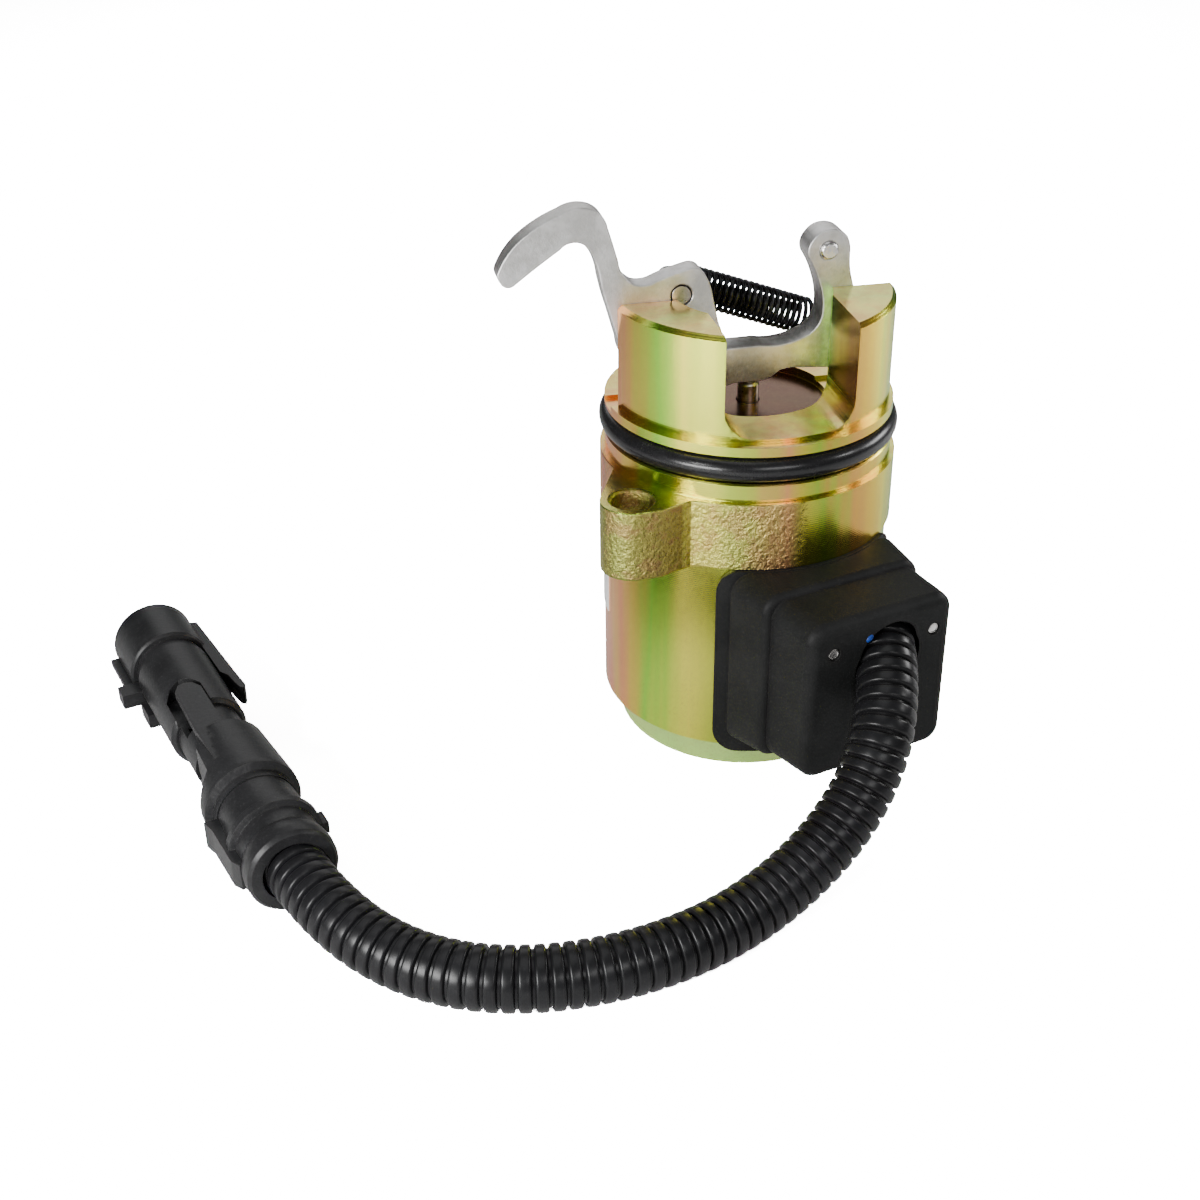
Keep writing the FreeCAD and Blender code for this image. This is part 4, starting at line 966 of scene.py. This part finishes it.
@dataclass
class TensionSpring:
    """Close-wound spring from the hook lever's pin to the rocker's pivot pin.

    Attributes:
        start: Middle of the hook on the hook lever's pin.
        end: Middle of the hook on the rocker's pivot pin.
        radius: Radius of the coils, on the wire's middle.
        wire: Radius of the wire.
        lead: Distance from a hook's middle to the first coil.
        turns: Number of coils.
        loop: Radius of the hooks, on the wire's middle.
        give: Share of its length, next to the hook lever, that stretches; not used.
        turn_steps: Points in one coil.
        first: Angle at which the coils start.
        loop_from: Angle at which a hook starts.
        loop_sweep: Angle that a hook sweeps.
        loop_steps: Points in a hook.
        sides: Faces around the wire.
    """

    start: Point = (-0.0117, 0.0064, 0.0764)
    end: Point = (0.0152, 0.0064, 0.0666)
    radius: float = 2.75 * MM
    wire: float = 0.37 * MM
    lead: float = 4.2 * MM
    turns: int = 20
    loop: float = 1.63 * MM
    give: float = 0.3
    turn_steps: int = 24
    first: float = math.radians(-60.0)
    loop_from: float = math.radians(-40.0)
    loop_sweep: float = math.radians(300.0)
    loop_steps: int = 18
    sides: int = 10

    def centreline(self) -> list[Vector]:
        """The wire's middle line: a hook, the coils and a second hook."""
        a, b = Vector(self.start), Vector(self.end)
        along = (b - a).normalized()
        across = Vector((0.0, 1.0, 0.0))
        upward = along.cross(across).normalized()
        span = (b - a).length
        coil, lead = self.radius, self.lead
        neck, shoulder = lead * 0.62, lead * 0.88
        lean, near_drop, far_drop, dip = coil * 0.3, coil * -0.55, coil * -0.45, 0.1 * MM

        def point(way: float, side: float, lift: float) -> Vector:
            """A point from its distance along the spring and its two offsets."""
            return a + along * way + across * side + upward * lift

        def hook(middle: float, facing: float) -> list[Vector]:
            """The points of a hook, which is open below; facing is -1 or 1 along the spring."""
            angles = [self.loop_from + self.loop_sweep * i / self.loop_steps
                      for i in range(self.loop_steps + 1)]
            return [point(middle + facing * self.loop * math.cos(angle), 0.0,
                          self.loop * math.sin(angle)) for angle in angles]

        line = hook(0.0, -1.0)
        line.append(point(neck, 0.0, -dip))
        line.append(point(shoulder, lean, near_drop))
        steps = self.turns * self.turn_steps
        for i in range(steps + 1):
            angle = 2.0 * math.pi * i / self.turn_steps + self.first
            line.append(point(lead + (span - 2.0 * lead) * i / steps, coil * math.cos(angle),
                              coil * math.sin(angle)))
        line.append(point(span - shoulder, lean, far_drop))
        line.append(point(span - neck, 0.0, dip))
        return line + hook(span, 1.0)

    def build(self) -> bpy.types.Object:
        """Makes the spring, which runs between the housing and the hook lever."""
        line = self.centreline()
        spring = tube_mesh("tension_spring_wound", line, [self.wire] * len(line), self.sides)
        smooth(spring, degrees=60.0)
        dress(spring, Finish.SPRING)
        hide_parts("tension_spring")
        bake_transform(spring)
        LOG.info("tension spring: %d faces", len(spring.data.polygons))
        return spring


# Pieces made from the solids


class SolidPiece(NamedTuple):
    """A rigid piece: its solid, its finish, the width of its broken edges and its body."""

    node: str
    finish: Finish
    edge: float = 0.0
    unit: Unit = Unit.HOUSING


@dataclass
class SolidPieces:
    """The rigid pieces, refined from their solids.

    Attributes:
        recess_rim: Rim that stays round the recess in a rivet's head.
        recess_depth: Depth of that recess.
        return_spring: The point below which the return spring follows the plunger, and the
        point above which it stays with the housing; not used.
    """

    recess_rim: float = 0.28 * MM
    recess_depth: float = 0.22 * MM
    return_spring: tuple[Point, Point] = ((0.0, 0.0, 0.0227), (0.0, 0.0, 0.0293))

    def pieces(self) -> tuple[SolidPiece, ...]:
        """The list of pieces."""
        return (
            SolidPiece("head", Finish.CAST_ZINC, 0.28 * MM),
            SolidPiece("can", Finish.CAN_ZINC, 0.25 * MM),
            SolidPiece("base_plate", Finish.CAN_ZINC, 0.2 * MM),
            SolidPiece("cover", Finish.COVER, 0.22 * MM),
            SolidPiece("cover_rivets", Finish.BRIGHT, 0.06 * MM),
            SolidPiece("rocker_pivot_pin", Finish.PIN, 0.1 * MM),
            SolidPiece("hook_pivot_pin", Finish.PIN, 0.1 * MM),
            SolidPiece("pivot_clips", Finish.SPRING, 0.08 * MM),
            SolidPiece("bobbin", Finish.BOBBIN, 0.1 * MM),
            SolidPiece("winding", Finish.COPPER, 0.2 * MM),
            SolidPiece("guide_tube", Finish.BRASS),
            SolidPiece("fixed_core", Finish.IRON, 0.2 * MM),
            SolidPiece("guide_bush", Finish.BRASS, 0.1 * MM),
            SolidPiece("return_spring", Finish.BRIGHT),
            SolidPiece("blank_label", Finish.LABEL),
            SolidPiece("lead_wire_blue", Finish.WIRE_BLUE),
            SolidPiece("lead_wire_red", Finish.WIRE_RED),
            SolidPiece("connector_housing", Finish.CONNECTOR, 0.22 * MM),
            SolidPiece("connector_boot", Finish.CONNECTOR, 0.25 * MM),
            SolidPiece("connector_sleeve", Finish.CONNECTOR, 0.25 * MM),
            SolidPiece("wire_seal", Finish.SEAL),
            SolidPiece("connector_terminals", Finish.TINNED, 0.08 * MM),
            SolidPiece("terminal_carrier", Finish.CONNECTOR, 0.1 * MM),
            SolidPiece("plunger", Finish.IRON, 0.15 * MM, Unit.PLUNGER),
            SolidPiece("push_pin", Finish.PIN, 0.05 * MM, Unit.PLUNGER),
            SolidPiece("rocker_lever", Finish.LEVER, 0.22 * MM, Unit.ROCKER),
            SolidPiece("rocker_stud", Finish.BRIGHT, 0.08 * MM, Unit.ROCKER),
            SolidPiece("hook_lever", Finish.LEVER, 0.25 * MM, Unit.HOOK),
            SolidPiece("hook_spring_pin", Finish.PIN, 0.1 * MM, Unit.HOOK),
        )

    def carry(self, piece: bpy.types.Object, row: SolidPiece) -> None:
        """Puts a piece on its body, except the return spring, which stays on no body.

        Args:
            piece: The piece.
            row: Its row in the list.
        """
        if row.node == "return_spring":
            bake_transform(piece)
        else:
            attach(piece, row.unit.value)
        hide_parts(row.node)

    def build(self) -> None:
        """Makes each piece and the recesses of the rivets."""
        for row in self.pieces():
            self.carry(refine(row.node, row.finish, row.edge), row)
        front = Vector((math.cos(COVER_TURN), math.sin(COVER_TURN), 0.0))
        rivets = bpy.data.objects["cover_rivets_shown"]
        dimple(rivets, front, self.recess_rim, self.recess_depth)


@dataclass
class BlueLeadBend:
    """The bend of the blue lead that shows at the edge of the cover's hole.

    Attributes:
        wire: Radius of the lead.
        step: Distance between the points along it.
        sides: Faces around it.
        bends: Its control points: outwards from the can, sideways and upwards.
    """

    wire: float = 0.55 * MM
    step: float = 0.3 * MM
    sides: int = 16
    bends: tuple[Point, ...] = (
        (0.0350, -0.0001, 0.0346), (0.0380, -0.0008, 0.0346), (0.0396, -0.0017, 0.0342),
        (0.0386, -0.0023, 0.0334), (0.0360, -0.0020, 0.0330),
    )

    def build(self) -> bpy.types.Object:
        """Makes the bend."""
        cos, sin = math.cos(COVER_TURN), math.sin(COVER_TURN)
        route = [(out * cos - side * sin, out * sin + side * cos, up)
                 for out, side, up in self.bends]
        line = resample(spline_points(route), self.step)
        bend = tube_mesh("lead_wire_blue_bend", line, [self.wire] * len(line), self.sides)
        smooth(bend, degrees=60.0)
        dress(bend, Finish.WIRE_BLUE)
        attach(bend, Unit.HOUSING.value)
        LOG.info("blue lead's bend: %d faces", len(bend.data.polygons))
        return bend


@dataclass
class SealRing:
    """The round seal ring in the head's groove.

    Attributes:
        radius: Radius of the ring, on its section's middle.
        thick: Radius of its section.
        height: Height of its middle.
        steps: Faces round the ring and round its section.
    """

    radius: float = 22.0 * MM
    thick: float = 1.95 * MM
    height: float = 55.4 * MM
    steps: tuple[int, int] = (160, 28)

    def build(self) -> bpy.types.Object:
        """Makes the ring."""
        deselect()
        bpy.ops.mesh.primitive_torus_add(
            major_radius=self.radius, minor_radius=self.thick, major_segments=self.steps[0],
            minor_segments=self.steps[1], location=(0.0, 0.0, self.height))
        ring = settle(bpy.context.object)
        ring.name = "seal_ring_round"
        smooth(ring, degrees=60.0)
        dress(ring, Finish.SEAL)
        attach(ring, Unit.HOUSING.value)
        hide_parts("seal_ring")
        return ring


def main() -> None:
    """Builds the scene in order."""
    logging.basicConfig(level=logging.INFO, format="%(name)s: %(message)s")
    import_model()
    studio = Studio()
    studio.camera()
    steps: tuple[tuple[str, Callable[[], object]], ...] = (
        ("solid pieces", SolidPieces().build),
        ("seal ring", SealRing().build),
        ("blue lead", BlueLeadBend().build),
        ("conduit", lambda: Conduit().build((
            "connector_housing_shown", "connector_boot_shown", "connector_sleeve_shown",
            "wire_seal_shown", "connector_terminals_shown", "terminal_carrier_shown"))),
        ("tension spring", TensionSpring().build),
        ("studio", studio.build),
    )
    for name, step in steps:
        step()
        LOG.info("%s done", name)
    deselect()


if __name__ == "__main__":
    main()
